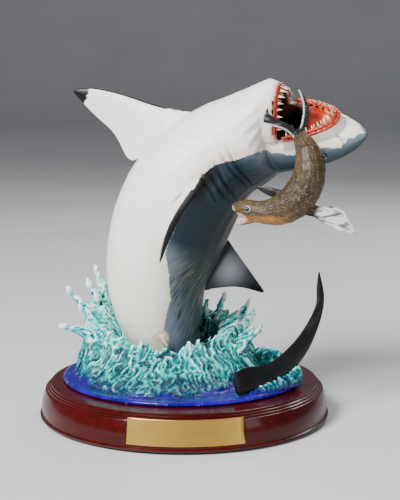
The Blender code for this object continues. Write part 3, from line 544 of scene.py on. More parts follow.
def zinc_plate():
    zinc = Finish("zinc_plate", metallic=1.0)
    spots = zinc.noise(900, 4, 0.6)
    colour = zinc.ramp(spots, [(0.3, (0.5, 0.5, 0.49)), (0.7, (0.68, 0.68, 0.7))])
    return zinc.painted(colour, spots, (0.3, 0.45), spots, 0.02, 0.3)


def shark_skin():
    skin = Finish("shark_skin", coat_weight=0.08, coat_roughness=0.25, specular_ior_level=0.22)
    edge = skin.attribute("edge")
    around = skin.attribute("around")
    along = skin.attribute("along")
    flesh = skin.attribute("flesh")
    flow = skin.add("ShaderNodeCombineXYZ", {"X": along, "Y": skin.times(around, 0.65)}).outputs[0]
    # Ragged edge: a fine fringe on the trunk, and broad tongues on the head
    tongues = skin.times(skin.swing(110, 3, 0.65), skin.span(along, 165, 225, 1.6, 9.0))
    fringe = skin.swing(700, 2, 0.6)
    shade = skin.span(skin.plus(edge, skin.plus(tongues, fringe, 2.6)), -0.2, 0.3)
    # Brush strokes that run aslant over the back
    strokes = skin.noise(1.0, 3, 0.6, 0.2, skin.stretched((0.05, 0.75, 1.0), flow, math.radians(-34)))
    cloud = skin.noise(26, 4, 0.55)
    # Back paint by how far round from the belly: slate near the edge, going to near-black round the back,
    # where the deepest dark is painted shade on the side turned from the light
    trunk = skin.ramp(skin.span(around, 66, 176), [
        (0.0, (0.17, 0.195, 0.25)), (0.16, (0.115, 0.14, 0.17)), (0.34, (0.052, 0.068, 0.066)),
        (0.55, (0.020, 0.027, 0.023)), (0.72, (0.003, 0.005, 0.006))])
    night = skin.ramp(skin.span(around, 60, 150), [
        (0.0, (0.018, 0.038, 0.055)), (0.4, (0.006, 0.022, 0.032)), (1.0, (0.002, 0.006, 0.006))])
    snout = skin.ramp(skin.span(around, 60, 176), [
        (0.06, (0.14, 0.185, 0.235)), (0.2, (0.075, 0.108, 0.135)), (0.38, (0.018, 0.040, 0.044)),
        (0.7, (0.005, 0.011, 0.009))])
    bend = skin.plus(along, skin.math("SUBTRACT", cloud, 0.5), 16.0)
    back = skin.mix(skin.span(bend, 100, 118), trunk, night)
    back = skin.mix(skin.span(bend, 196, 216), back, snout)
    lively = skin.times(skin.span(along, 112, 86, 0.06, 1.0), skin.span(around, 70, 85, 0.5, 1.0))
    lively = skin.times(lively, skin.span(around, 150, 120))
    back = skin.mix(skin.times(skin.span(strokes, 0.52, 0.66), lively), back, (0.16, 0.175, 0.15))
    back = skin.mix(skin.times(skin.span(strokes, 0.47, 0.34), lively), back, (0.006, 0.010, 0.013))
    belly = skin.mix(skin.span(along, 40, 190), (0.87, 0.83, 0.74), (0.95, 0.935, 0.905))
    belly = skin.mix(skin.span(cloud, 0.5, 0.75, 0.0, 0.4), belly, (0.83, 0.77, 0.66))
    belly = skin.mix(skin.span(edge, -12, -1, 0.0, 0.55), belly, (0.76, 0.66, 0.50))
    streak = skin.noise(1.0, 3, 0.6, 0.3, skin.stretched((0.06, 0.35, 1.0), flow, math.radians(20)))
    blush = skin.times(skin.span(streak, 0.56, 0.72), skin.span(along, 180, 230, 0.12, 0.6))
    belly = skin.mix(blush, belly, (0.66, 0.46, 0.32))
    colour = skin.mix(shade, belly, back)
    # Small cream fins by the belly, the dark root of the near side fin and the back fin's paint with its
    # painted highlight
    colour = skin.mix(skin.attribute("cream"), colour, (0.72, 0.62, 0.47))
    colour = skin.mix(skin.times(skin.attribute("root"), shade), colour, (0.004, 0.006, 0.008))
    band = skin.plus(skin.attribute("band"), fringe, 3.0)
    colour = skin.mix(skin.span(band, 4.4, 3.8), colour, NEAR_BLACK)
    colour = skin.mix(skin.attribute("dorsal"), colour, dark_fin_with_painted_highlight(skin))
    colour = skin.mix(skin.attribute("rose"), colour, (0.66, 0.33, 0.20))
    slit_dark = skin.mix(shade, (0.24, 0.12, 0.07), (0.004, 0.007, 0.009))
    colour = skin.mix(skin.attribute("slit"), colour, slit_dark)
    # Inside the mouth: red near the gums, darkening to near-black deeper in the throat
    mouth_depth_tone = skin.plus(skin.times(skin.noise(150, 3, 0.6), 0.6), flesh, 0.7)
    inside = skin.ramp(mouth_depth_tone, [(0.34, (0.72, 0.20, 0.07)), (0.46, (0.50, 0.045, 0.016)),
                             (0.62, (0.20, 0.008, 0.005)), (0.76, (0.010, 0.001, 0.001))])
    inside = skin.mix(skin.attribute("cheek"), inside, (0.60, 0.30, 0.17))
    colour = skin.mix(skin.span(flesh, 0.02, 0.08), colour, inside)
    grain = skin.noise(1400, 3, 0.6)
    height = skin.plus(skin.times(strokes, 0.7), grain, 0.3)
    return skin.painted(colour, grain, (0.30, 0.46), height, 0.12, 0.4)


def fin_finish(name, dark, pale, band_mm, tip_mm=0.0):
    """Fin paint: a dark band along the leading edge and a dark tip with a ragged edge, pale elsewhere."""
    fin = Finish(name, coat_weight=0.1, coat_roughness=0.25, specular_ior_level=0.2)
    rag = fin.swing(260, 3, 0.65)
    lead = fin.plus(fin.attribute("lead"), rag, 0.3 * band_mm)
    tip = fin.plus(fin.attribute("tip"), rag, 7.0)
    share = fin.math("MAXIMUM", fin.span(lead, band_mm + 0.3, band_mm - 0.3),
                     fin.span(tip, tip_mm + 0.5, tip_mm - 0.5))
    streaks = fin.noise(70, 4, 0.6, 0.4)
    colour = fin.mix(share, fin.shades(streaks, pale, 0.88, 1.0), fin.shades(streaks, dark, 0.6, 1.4))
    grain = fin.noise(1300, 3, 0.6)
    return fin.painted(colour, grain, (0.28, 0.44), grain, 0.08, 0.4)


def dark_fin_with_painted_highlight(fin):
    """Dark paint with a soft painted highlight in the middle of the back fin."""
    offset = fin.add("ShaderNodeVectorMath", {0: fin.here, 1: PAINTED_HIGHLIGHT_MIDDLE}, operation="DISTANCE")
    glow = fin.plus(offset.outputs["Value"], fin.noise(60, 3), 6 * MM)
    return fin.ramp(fin.span(glow, 0.004, 0.034), [
        (0.0, (0.46, 0.45, 0.49)), (0.25, (0.26, 0.26, 0.29)), (0.5, (0.07, 0.075, 0.085)),
        (0.8, (0.010, 0.012, 0.015)), (1.0, (0.003, 0.004, 0.005))])


def highlit_dorsal_finish():
    fin = Finish("dorsal_paint", coat_weight=0.1, coat_roughness=0.25, specular_ior_level=0.2)
    grain = fin.noise(1300, 3, 0.6)
    # Dark paint of the back fin with a painted highlight in its middle
    return fin.painted(dark_fin_with_painted_highlight(fin), grain, (0.26, 0.4), grain, 0.08, 0.4)


def wet_gum():
    gum = Finish("wet_gum", coat_weight=0.4, coat_roughness=0.15, specular_ior_level=0.35)
    cells = gum.noise(420, 4, 0.6, 0.3)
    colour = gum.ramp(cells, [(0.3, (0.20, 0.006, 0.004)), (0.52, (0.46, 0.032, 0.014)),
                              (0.75, (0.66, 0.13, 0.06))])
    return gum.painted(colour, cells, (0.2, 0.4), cells, 0.35, 0.7)


def ivory():
    tooth = Finish("tooth_ivory", coat_weight=0.6, coat_roughness=0.08)
    stain = tooth.noise(700, 3, 0.6)
    enamel = tooth.ramp(stain, [(0.3, (0.80, 0.66, 0.40)), (0.6, (0.92, 0.83, 0.60)),
                                (0.85, (0.95, 0.9, 0.76))])
    colour = tooth.mix(tooth.span(tooth.attribute("root"), 0.55, 1.0), enamel, (0.60, 0.16, 0.06))
    return tooth.painted(colour, stain, (0.18, 0.34), stain, 0.06, 0.4)


def glossy_eye(name, colour):
    eye = Finish(name, coat_weight=1.0, coat_roughness=0.02, specular_ior_level=0.6)
    depth = eye.noise(500, 3)
    return eye.painted(eye.shades(depth, colour, 0.6, 1.0), depth, (0.068, 0.122))


def seal_fur():
    fur = Finish("seal_fur", coat_weight=0.0, specular_ior_level=0.35)
    flow = {"X": fur.attribute("along"), "Y": fur.attribute("around")}
    flow = fur.add("ShaderNodeCombineXYZ", flow).outputs[0]
    hairs = fur.noise(1.0, 3, 0.65, 0.6, fur.stretched((0.5, 0.30, 1.0), flow, 0.3))
    patches = fur.noise(60, 4, 0.6)
    pelt = fur.ramp(patches, [(0.3, (0.022, 0.012, 0.004)), (0.55, (0.062, 0.034, 0.010)),
                              (0.75, (0.13, 0.072, 0.020))])
    pelt = fur.mix(fur.span(hairs, 0.55, 0.68, 0.0, 0.8), pelt, (0.32, 0.25, 0.175))
    pelt = fur.mix(fur.span(hairs, 0.46, 0.3, 0.0, 0.85), pelt, (0.009, 0.005, 0.002))
    amber = fur.ramp(hairs, [(0.35, (0.26, 0.10, 0.018)), (0.5, (0.42, 0.19, 0.045)),
                             (0.65, (0.62, 0.38, 0.15))])
    pelt = fur.mix(fur.times(fur.attribute("under"), 0.85), pelt, amber)
    # Nose: its tan with a painted highlight on the tip
    pelt = fur.mix(fur.attribute("nose"), pelt, (0.52, 0.38, 0.27))
    folds = fur.noise(1.0, 2, 0.5, 0.8, fur.stretched((75, 75, 240)))
    leather = fur.ramp(folds, [(0.4, (0.002, 0.002, 0.003)), (0.6, (0.012, 0.011, 0.014)),
                               (0.7, (0.10, 0.09, 0.11))])
    # Near fore flipper: pale paint with painted reflection over its folds
    silver = fur.ramp(folds, [
        (0.32, (0.06, 0.06, 0.07)), (0.41, (0.30, 0.30, 0.32)), (0.5, (0.74, 0.74, 0.75)),
        (0.58, (0.50, 0.50, 0.52)), (0.70, (0.12, 0.12, 0.13))])
    skin = fur.mix(fur.attribute("silver"), leather, silver)
    # Pale edges of the hind flippers: pale paint with painted reflection
    skin = fur.mix(fur.attribute("stripe"), skin, (0.55, 0.56, 0.58))
    colour = fur.mix(fur.attribute("flipper"), pelt, skin)
    tongue = fur.ramp(fur.noise(500, 3), [(0.35, (0.52, 0.16, 0.12)), (0.6, (0.74, 0.42, 0.35))])
    colour = fur.mix(fur.attribute("gape"), colour, tongue)
    return fur.painted(colour, hairs, (0.32, 0.55), hairs, 0.35, 0.7)


def painted_water():
    water = Finish("painted_water", coat_weight=0.3, coat_roughness=0.15, specular_ior_level=0.4)
    rise = water.attribute("rise")
    fine = water.ridges(0.8, 2.0, water.attribute("flow", "Vector"))
    tone = water.times(water.attribute("ridge"), 0.36)
    for value, share in ((fine, 0.22), (water.attribute("crest"), 0.40), (water.swing(70, 3, 0.6), 0.55)):
        tone = water.plus(tone, value, share)
    tone = water.plus(tone, water.span(rise, 0.0, 1.0, -0.06, 0.34))
    foam = water.ramp(tone, [
        (0.04, (0.0, 0.016, 0.028)), (0.2, (0.0, 0.08, 0.10)), (0.36, (0.0, 0.26, 0.27)),
        (0.52, (0.0, 0.58, 0.54)), (0.68, (0.26, 0.88, 0.83)), (0.82, (0.97, 0.99, 0.98))])
    base = water.ramp(tone, [
        (0.05, (0.0, 0.008, 0.06)), (0.35, (0.0, 0.06, 0.14)), (0.58, (0.0, 0.22, 0.27)),
        (0.85, (0.5, 0.85, 0.88))])
    foam = water.mix(water.span(rise, 0.10, 0.30), base, foam)
    shore = water.plus(rise, water.swing(48, 2, 0.5), 0.5)
    deep = water.ramp(fine, [(0.3, (0.005, 0.0, 0.10)), (0.8, (0.018, 0.0, 0.32))])
    colour = water.mix(water.span(shore, 0.07, 0.12), deep, foam)
    return water.painted(colour, fine, (0.34, 0.14), fine, 0.35, 0.8)


def deep_sea():
    """Glossy ultramarine with faint swell and white flecks near the foam."""
    sea = Finish("deep_sea", coat_weight=0.12, coat_roughness=0.08, specular_ior_level=0.2)
    swell = sea.noise(60, 3, 0.6, 0.5)
    fleck = sea.noise(420, 3, 0.7, 0.8)
    colour = sea.ramp(swell, [(0.3, (0.006, 0.0, 0.12)), (0.55, (0.018, 0.0, 0.30)),
                              (0.75, (0.022, 0.002, 0.42))])
    colour = sea.mix(sea.span(fleck, 0.66, 0.70), colour, (0.8, 0.9, 0.95))
    return sea.painted(colour, swell, (0.12, 0.24), swell, 0.9, 0.8)


# Shark


def head_axes():
    """Snout direction, belly direction and near-side direction of the head."""
    forward = Vector((math.cos(HEAD_PITCH) * math.cos(HEAD_YAW), -math.cos(HEAD_PITCH) * math.sin(HEAD_YAW),
                      math.sin(HEAD_PITCH)))
    upright = (Vector((0, 0, 1)) - forward * forward.z).normalized()
    sideways = forward.cross(upright).normalized()
    belly = upright * math.cos(HEAD_ROLL) + sideways * math.sin(HEAD_ROLL)
    near = sideways * math.cos(HEAD_ROLL) - upright * math.sin(HEAD_ROLL)
    return forward, belly, near


HINGE_MM = Vector(JAW_HINGE_MM)
FORWARD, BELLY, NEAR = head_axes()
JAW_OUT = FORWARD * math.cos(GAPE) + BELLY * math.sin(GAPE)
JAW_TEETH = FORWARD * math.sin(GAPE) - BELLY * math.cos(GAPE)

# Each jaw: reach in mm, squareness of its arch, its way out and the way its teeth stand
JAWS = {
    True: (UPPER_JAW_MM, UPPER_SQUARENESS, FORWARD, BELLY),
    False: (LOWER_JAW_MM, LOWER_SQUARENESS, JAW_OUT, JAW_TEETH),
}


def spine_frames(count=220):
    """Points along the shark with its belly and near-side directions, and the distance along it."""
    rows = [list(row[:3]) for row in SPINE_MM]
    turns = [row[3] for row in SPINE_MM]
    for reach, drop in HEAD_LINE_MM:
        rows.append(list(HINGE_MM + FORWARD * reach + BELLY * drop))
    line = curve_through(rows, count)
    step = unit(np.gradient(line, axis=0))
    along = reach_along(line)
    place = np.linspace(0, len(rows) - 1, count)
    turn = np.radians(np.interp(place, range(len(turns)), turns))
    outward = unit(np.stack([-step[:, 2], np.zeros(count), step[:, 0]], axis=1))
    belly = outward * np.cos(turn)[:, None] + np.array([0, -1, 0]) * np.sin(turn)[:, None]
    head_share = smooth_step(len(turns) - 1, len(turns), place)[:, None]
    belly = belly * (1 - head_share) + np.array(BELLY) * head_share
    belly = unit(belly - step * np.sum(belly * step, axis=1)[:, None])
    near = np.cross(belly, step)
    near[near[:, 1] > 0] *= -1
    return line, belly, near, along


def on_spine(points, line, spread=7.0):
    """Weights of each point on the line's samples, so that places pass smoothly from one to the next."""
    far = (points ** 2).sum(1)[:, None] - 2 * points @ line.T + (line ** 2).sum(1)[None, :]
    far -= far.min(1)[:, None]
    weight = np.exp(-far / (2 * spread * spread))
    return weight / weight.sum(1)[:, None]


def body_places(points_mm):
    """Distance along the shark, degrees round from belly to near side, and distance off its middle."""
    line, belly, near, along = spine_frames()
    found = []
    for part in np.array_split(points_mm, max(1, len(points_mm) // 8000)):
        weight = on_spine(part, line)
        out = part - weight @ line
        side = (out * (weight @ near)).sum(1)
        front = (out * (weight @ belly)).sum(1)
        found.append(np.stack([weight @ along, np.degrees(np.arctan2(side, front)),
                               np.linalg.norm(out, axis=1)], axis=1))
    return np.concatenate(found).T


def jaw_curve(upper, count, inset=0.0):
    """Points in mm along a jaw's arch, near corner first."""
    reach, square, out = JAWS[upper][:3]
    fine = []
    for s in np.linspace(1, -1, 241):
        length = JAW_START_MM + (reach - inset - JAW_START_MM) * (1 - abs(s) ** square)
        fine.append(HINGE_MM + out * length + NEAR * (MOUTH_HALF_WIDTH_MM - inset) * float(s))
    fine = np.array(fine)
    steps = reach_along(fine)
    even = np.linspace(0, steps[-1], count)
    return [Vector([np.interp(t, steps, fine[:, axis]) for axis in range(3)]) for t in even]


def mouth_mask(points_mm):
    """How deep a point lies in the mouth: 0 outside, small at the gums and 1 in the throat."""
    away = points_mm - np.array(HINGE_MM)
    side = away @ np.array(NEAR)
    mask = np.zeros(len(points_mm))
    width = MOUTH_HALF_WIDTH_MM - 2.4
    for upper, (reach, square, out, tall) in JAWS.items():
        length = away @ np.array(out)
        height = away @ np.array(tall)
        limit = (reach - 3.0) * (1 - np.clip(np.abs(side) / width, 0, 1) ** square)
        inside = (np.abs(side) < width) & (length < limit) & (length > -22)
        inside &= (height < 1.2) & (height > -13.5)
        front, shallow = (34, 0.15) if upper else (26, 0.75)
        depth = shallow + (1 - shallow) * smooth_step(front, -4, length)
        mask = np.where(inside, np.maximum(mask, depth), mask)
    return mask


def far_side(place_mm):
    """The same place on the far side of the head."""
    place = Vector(place_mm)
    return place - 2 * (place - HINGE_MM).dot(NEAR) * NEAR


def make_shark():
    bm = welded("shark_body")
    for node, (root, outward) in FIN_ROOTS.items():
        stub = welded(node)
        direction = Vector(outward).normalized()
        rim = sliced(stub, Vector(root) * MM + direction * STUB_MM * MM, direction)
        bmesh.ops.edgeloop_fill(stub, edges=rim)
        spare = bpy.data.meshes.new("stub")
        for vert in stub.verts:
            vert.co += vert.normal * STUB_SWELL_MM * MM
        stub.to_mesh(spare)
        stub.free()
        bm.from_mesh(spare)
        bpy.data.meshes.remove(spare)
    shark = even_mesh(add_piece("shark_skin", bm), BODY_VOXEL)
    mesh = shark.data
    points = points_of(mesh) / MM
    mouth_gap = np.linalg.norm(points - np.array(HINGE_MM + (FORWARD + JAW_OUT) * 12), axis=1)
    relax(mesh, 14, 0.25 + 0.75 * smooth_step(34, 52, mouth_gap))
    points = points_of(mesh) / MM
    along, degrees, radius = body_places(points)
    side = np.abs(degrees)
    line = np.interp(along, [row[0] for row in SHADE_EDGE], [row[1] for row in SHADE_EDGE])
    edge = (side - line) * np.radians(1) * radius
    slit = np.zeros(len(points))
    dent = np.zeros(len(points))
    for way, rows in [(1, row) for row in NEAR_SLITS] + [(-1, row) for row in FAR_SLITS]:
        places = np.stack([along, MM_PER_DEGREE * way * degrees], axis=1)
        gap, share = line_distance(places, np.array(rows) * (1.0, MM_PER_DEGREE))
        taper = np.sin(np.pi * np.clip(share, 0.03, 0.97)) ** 0.5
        groove = np.exp(-(gap / SLIT_HALF_WIDTH_MM) ** 2) * taper
        lips = np.exp(-((gap - SLIT_LIP_MM) / SLIT_LIP_HALF_WIDTH_MM) ** 2) * taper
        slit = np.maximum(slit, groove)
        dent += (0.7 if way > 0 else 1.5) * lips - SLIT_DEPTH_MM * groove
    for rows in (NOSTRIL_MM, [far_side(place) for place in NOSTRIL_MM]):
        groove = np.exp(-(gap_to_line(points, rows) / SLIT_HALF_WIDTH_MM) ** 2)
        slit = np.maximum(slit, groove)
        dent -= NOSTRIL_DEPTH_MM * groove
    # Slanted folds where the belly bends over the splash
    crease = np.sin(math.tau * (along * 0.8 + edge * 0.75 + 2.0 * wander(points, 20, 6.0)) / 6.0) ** 2
    low_belly = smooth_step(20, 32, along) * smooth_step(80, 66, along)
    dent += 0.45 * crease * low_belly * smooth_step(-24, -15, edge) * smooth_step(0, -4, edge)
    # Folds of skin behind the jaw and down the flank
    fold = wander(np.stack([along * 0.45, degrees * 0.9, radius * 0], axis=1), 12, 3.1)
    neck = smooth_step(170, 215, along) * smooth_step(262, 235, along) * smooth_step(70, 30, side)
    dent += 1.1 * fold * neck
    dent += 0.35 * wander(points, 24, 8.2)
    inside = mouth_mask(points)
    dent = np.where(inside > 0, 0.25 * wander(points, 5, 1.3), dent)
    push(mesh, dent * MM)
    across = (points - np.array(HINGE_MM)) @ np.array(NEAR)
    root, outward = (np.array(row) for row in FIN_ROOTS["dorsal_fin"])
    out_of_back = (points - root) @ outward / np.linalg.norm(outward)
    near_root = np.linalg.norm(points - root, axis=1) < 30
    mouth_rim = np.zeros(len(points))
    for upper in (True, False):
        rim = np.array([list(p) for p in jaw_curve(upper, 60)])
        gap = np.sqrt(((points[:, None, :] - rim[None, :, :]) ** 2).sum(2)).min(1)
        mouth_rim = np.maximum(mouth_rim, smooth_step(5.5, 2.0, gap))
    write_attributes(mesh, edge=edge, around=side, along=along, slit=slit, flesh=inside,
                     cheek=smooth_step(-12, -19, across) * (inside > 0),
                     root=smooth_step(12, 4.5, gap_to_line(points, ROOT_MM)),
                     band=gap_to_line(points, curve_through(NEAR_LEADING_MM, 40)),
                     dorsal=smooth_step(1.0, 5.0, out_of_back) * near_root,
                     cream=smooth_step(7.5, 5.0, gap_to_line(points, PELVIC_MM)),
                     rose=0.8 * mouth_rim * (inside == 0))
    coat(shark, shark_skin())
    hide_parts("shark_body")
    return shark


def smooth_fin(node, name, finish, leading=()):
    """Fin with its facets rounded off, thin at its edges, that knows how far its leading edge and tip are."""
    bm = welded(node)
    bmesh.ops.join_triangles(bm, faces=bm.faces, angle_face_threshold=math.radians(30),
                             angle_shape_threshold=math.radians(60))
    fin = add_piece(name, bm)
    round_off = fin.modifiers.new("round_off", "SUBSURF")
    round_off.levels = 3
    round_off.render_levels = 3
    apply_modifiers(fin)
    if leading:
        points = points_of(fin.data) / MM
        line = curve_through(leading, 40)
        tip_gap = np.linalg.norm(points - line[-1], axis=1)
        write_attributes(fin.data, lead=gap_to_line(points, line), tip=tip_gap)
    coat(fin, finish)
    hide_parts(node)
    return fin


# Mouth


def tooth(bm, foot, up, out, width, height, thick):
    """One flat pointed tooth that bows a little inwards."""
    made = bmesh.ops.create_cone(bm, cap_ends=True, segments=8, radius1=0.5, radius2=0.04, depth=1.0)["verts"]
    across = up.cross(out).normalized()
    turn = Matrix((across * width, out * thick, up * height)).transposed()
    for vert in made:
        x, y, z = vert.co
        t = z + 0.5
        bulge = 1.0 + 0.25 * math.sin(math.pi * t)
        local = Vector((x * bulge, y * bulge - 0.35 * t * t, t))
        vert.co = (foot + turn @ local) * MM


def make_teeth(name, upper, count, width, height, row):
    bm = bmesh.new()
    out_flat, up = JAWS[upper][2:]
    curve = jaw_curve(upper, count + 2, 1.6 + row * 2.6)
    middle = HINGE_MM + out_flat * (18 if upper else 14)
    for k in range(1, count + 1):
        step = (curve[k + 1] - curve[k - 1]).normalized()
        out = step.cross(up).normalized()
        if out.dot(curve[k] - middle) < 0:
            out = -out
        share = math.sin(math.pi * k / (count + 1))
        size = (0.55 + 0.45 * share) * (0.92 + 0.16 * math.sin(7.3 * k + row))
        lean = (up + out * (-0.18 - 0.25 * row) + step * 0.12 * math.sin(3.7 * k)).normalized()
        foot = curve[k] + up * (0.6 - 0.8 * row)
        tooth(bm, foot, lean, out, width * size, height * size, 1.6)
    teeth = add_piece(name, closed(bm))
    height_over = (points_of(teeth.data) / MM - np.array(HINGE_MM)) @ np.array(up)
    write_attributes(teeth.data, root=smooth_step(3.4, 0.4, height_over))
    return teeth


def make_lip(name, upper, inset, lift, thick):
    """Swollen fold along a jaw, with a knuckle under each tooth."""
    curve = jaw_curve(upper, LIP_POINTS, inset)
    up = JAWS[upper][3]
    data = bpy.data.curves.new(name, "CURVE")
    data.dimensions = "3D"
    data.bevel_depth = thick * MM
    data.bevel_resolution = 4
    data.use_fill_caps = True
    line = data.splines.new("POLY")
    line.points.add(len(curve) - 1)
    for k, (spot, point) in enumerate(zip(curve, line.points)):
        place = (spot + up * lift) * MM
        point.co = (*place, 1.0)
        end = math.sin(math.pi * min(max(k / (LIP_POINTS - 1), 0.03), 0.97)) ** 0.3
        point.radius = end * (1.0 + 0.10 * math.sin(k * math.tau / 5.2))
    tube = bpy.data.objects.new(name, data)
    bpy.context.scene.collection.objects.link(tube)
    mesh = bpy.data.meshes.new_from_object(tube)
    bpy.data.objects.remove(tube)
    bm = bmesh.new()
    bm.from_mesh(mesh)
    bpy.data.meshes.remove(mesh)
    return add_piece(name, closed(bm))


def make_mouth():
    gum = wet_gum()
    enamel = ivory()
    for upper in (True, False):
        place = "upper" if upper else "lower"
        flesh = make_lip(place + "_gum", upper, 2.0, 0.1, 2.0 if upper else 1.6)
        coat(flesh, gum)
        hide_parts(place + "_jaw")
        fold = make_lip(place + "_lip_fold", upper, -0.9 if upper else -0.2, -0.4, 1.0)
        coat(fold, gum)
        sizes = ((17, 4.3, 6.2), (12, 3.4, 4.6)) if upper else ((13, 3.4, 6.4), (9, 2.6, 4.6))
        for row, (count, width, height) in enumerate(sizes):
            teeth = make_teeth(f"{place}_teeth_{row + 1}", upper, count, width, height, row)
            coat(teeth, enamel)


def eye_on(skin, name, near_mm, radius_mm, lift_mm, finish):
    """Ball set into a skin at its nearest place, its middle lifted out of it."""
    place, normal = skin.closest_point_on_mesh(Vector(near_mm) * MM)[1:3]
    bm = bmesh.new()
    bmesh.ops.create_uvsphere(bm, u_segments=32, v_segments=20, radius=radius_mm * MM)
    bmesh.ops.translate(bm, verts=bm.verts, vec=place + normal * lift_mm * MM)
    return coat(add_piece(name, bm), finish)


# Seal


def make_seal():
    seal = even_mesh(add_piece("seal_skin", welded("seal")), SEAL_VOXEL)
    mesh = seal.data
    relax(mesh, 6)
    points = points_of(mesh) / MM
    # The near fore flipper broadens in its middle
    start, end = np.array(SEAL_FLIPPER_MM)
    run = (end - start) / np.linalg.norm(end - start)
    share = ((points - start) @ run) / np.linalg.norm(end - start)
    wide = np.array([-run[2], 0, run[0]])
    grow = 0.5 * np.sin(math.pi * np.clip(share, 0, 1)) * (points[:, 0] > start[0])
    points += (((points - start) @ wide) * grow)[:, None] * wide
    set_points(mesh, points * MM)
    line = curve_through(SEAL_LINE_MM, 160)
    weight = on_spine(points, line[:, :3], 3.0)
    middle = weight @ line[:, :3]
    thick = weight @ line[:, 3]
    direction = weight @ unit(np.gradient(line[:, :3], axis=0))
    out = points - middle
    radius = np.linalg.norm(out, axis=1)
    back = np.cross(direction, np.array([0, 1.0, 0]))
    around = np.degrees(np.arctan2(out @ np.array([0, -1.0, 0]), (out * back).sum(1)))
    along = weight @ reach_along(line[:, :3])
    flipper = smooth_step(1.5, 4.5, radius - thick * 1.02)
    flipper = np.maximum(flipper, smooth_step(9.0, 5.0, along))
    flow = np.stack([along, around * 0.2, radius * 0], axis=1)
    bristle = wander(flow, 2.6, 4.0, (1.9, 1.0, 1.0)) * (1 - flipper)
    push(mesh, (0.32 * bristle + 0.5 * wander(points, 14, 2.0) * (1 - flipper)) * MM)
    throat = smooth_step(169, 163.5, points[:, 2] + 1.2 * wander(points, 5, 7.0))
    throat *= smooth_step(86, 68, points[:, 0]) * smooth_step(44, 47, points[:, 0])
    # Pale edges of the hind flippers: pale paint with painted reflection along them
    stripe = np.minimum(*[gap_to_line(points, curve_through(rows, 40)) for rows in HIND_PALE_EDGES_MM])
    # Nose: tan with a painted highlight on its tip
    nose_gap = np.linalg.norm(points - np.array(SEAL_NOSE_MM), axis=1)
    # Pale paint with painted reflection on the near fore flipper
    write_attributes(mesh, silver=smooth_step(95, 99, points[:, 0]) * smooth_step(182, 178, points[:, 2]),
                     stripe=smooth_step(1.5, 0.8, stripe), nose=smooth_step(3.2, 1.6, nose_gap),
                     gape=smooth_step(5.4, 4.4, gap_to_line(points, SEAL_GAPE_MM)), along=along,
                     around=around, flipper=flipper, under=throat * (1 - flipper))
    coat(seal, seal_fur())
    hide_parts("seal")
    return seal


def make_seal_teeth():
    """Row of small teeth along the open lower jaw, and two above."""
    bm = bmesh.new()
    for x, z, up, height in SEAL_TEETH_MM:
        foot = Vector((x, SEAL_TEETH_DEPTH_MM, z))
        tooth(bm, foot, Vector((0, 0, up)), Vector((0, -1, 0)), 1.1, height, 0.9)
    return add_piece("seal_teeth", closed(bm))


# Water


def strand_places(points):
    """Places in mm in which near ones lie along one strand, as strands run up and round the splash."""
    x = points[:, 0] - CROWN_MIDDLE_MM[0]
    y = points[:, 1] - CROWN_MIDDLE_MM[1]
    angle = np.arctan2(y, x)
    slant = 0.75 * points[:, 2] - 0.6 * np.hypot(x, y)
    places = np.stack([62 * np.cos(angle), 62 * np.sin(angle), 0.22 * slant], axis=1)
    for size, reach in ((19, 5.0), (8, 2.2)):
        for axis in range(3):
            places[:, axis] += reach * wander(points, size, 3.0 + 7.0 * axis)
    return places


def ridged(places, size_mm, seed):
    """Narrow crests, from 0 to 1, between the hills of a noise."""
    return np.clip(1 - 4.0 * np.abs(wander(places, size_mm, seed)), 0, 1)


def add_spray(bm):
    """Small spikes along the splash's crest."""
    middle = Vector((CROWN_MIDDLE_MM[0], CROWN_MIDDLE_MM[1], 0)) * MM
    tops = {}
    for vert in bm.verts:
        away = vert.co - middle
        sector = int(SPRAY_COUNT * (math.atan2(away.y, away.x) / math.tau + 0.5))
        if math.hypot(away.x, away.y) > 30 * MM and vert.co.z > 46 * MM:
            if sector not in tops or vert.co.z > tops[sector].z:
                tops[sector] = vert.co.copy()
    for sector, top in sorted(tops.items()):
        away = (top - middle).normalized()
        lean = Vector((away.x, away.y, 1.5 + 0.6 * math.sin(5.1 * sector))).normalized()
        height = (4.5 + 1.6 * math.sin(2.9 * sector)) * MM
        turn = lean.to_track_quat("Z", "Y").to_matrix().to_4x4()
        place = Matrix.Translation(top + lean * (0.5 * height - 1.5 * MM)) @ turn
        bmesh.ops.create_cone(bm, cap_ends=True, segments=10, radius1=2.3 * MM, radius2=0.6 * MM,
                              depth=height + 2 * MM, matrix=place)


def make_splash():
    bm = welded("water_base")
    bmesh.ops.holes_fill(bm, edges=sliced(bm, (0, 0, FOAM_FOOT_MM * MM), (0, 0, -1)))
    add_spray(bm)
    splash = even_mesh(add_piece("splash_crown", bm), WATER_VOXEL)
    mesh = splash.data
    relax(mesh, 2)
    points = points_of(mesh) / MM
    height = points[:, 2] - SEA_FOOT_MM
    open_water = smooth_step(3.2, 7.0, height)
    places = strand_places(points)
    ridge = 0.65 * ridged(places, 3.8, 1.0) + 0.35 * ridged(places, 2.1, 5.0)
    lumps = wander(points, 15, 2.0)
    pits = smooth_step(0.28, 0.5, wander(points, 7.5, 11.0)) * smooth_step(18, 24, height)
    push(mesh, (1.9 * (ridge - 0.35) + 1.5 * lumps - 2.4 * pits) * open_water * MM)
    relax(mesh, 1)
    write_attributes(mesh, ridge=ridge, crest=np.clip(stand_out(mesh, 10) / 1.2 - pits, -1, 1), flow=places,
                     rise=np.clip(height / 48.0, 0, 1))
    coat(splash, painted_water())
    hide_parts("water_base")
    return splash


def make_sea():
    """Glossy disc of deep water under the splash, with a rounded wavy rim."""
    low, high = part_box("water_base")
    radius = (high.x - low.x) / 2
    bm = turned([(0.0, 0.0), (radius - 1.3 * MM, 0.0), (radius, 1.3 * MM), (radius - 0.8 * MM, 2.8 * MM),
                 (radius - 3.0 * MM, 3.5 * MM), (radius * 0.6, 3.3 * MM), (0.0, 3.2 * MM)])
    bmesh.ops.translate(bm, verts=bm.verts, vec=Vector((*SEA_SHIFT_MM, SEA_FOOT_MM)) * MM)
    return add_piece("sea_disc", bm)


# Plinth, plate and felt


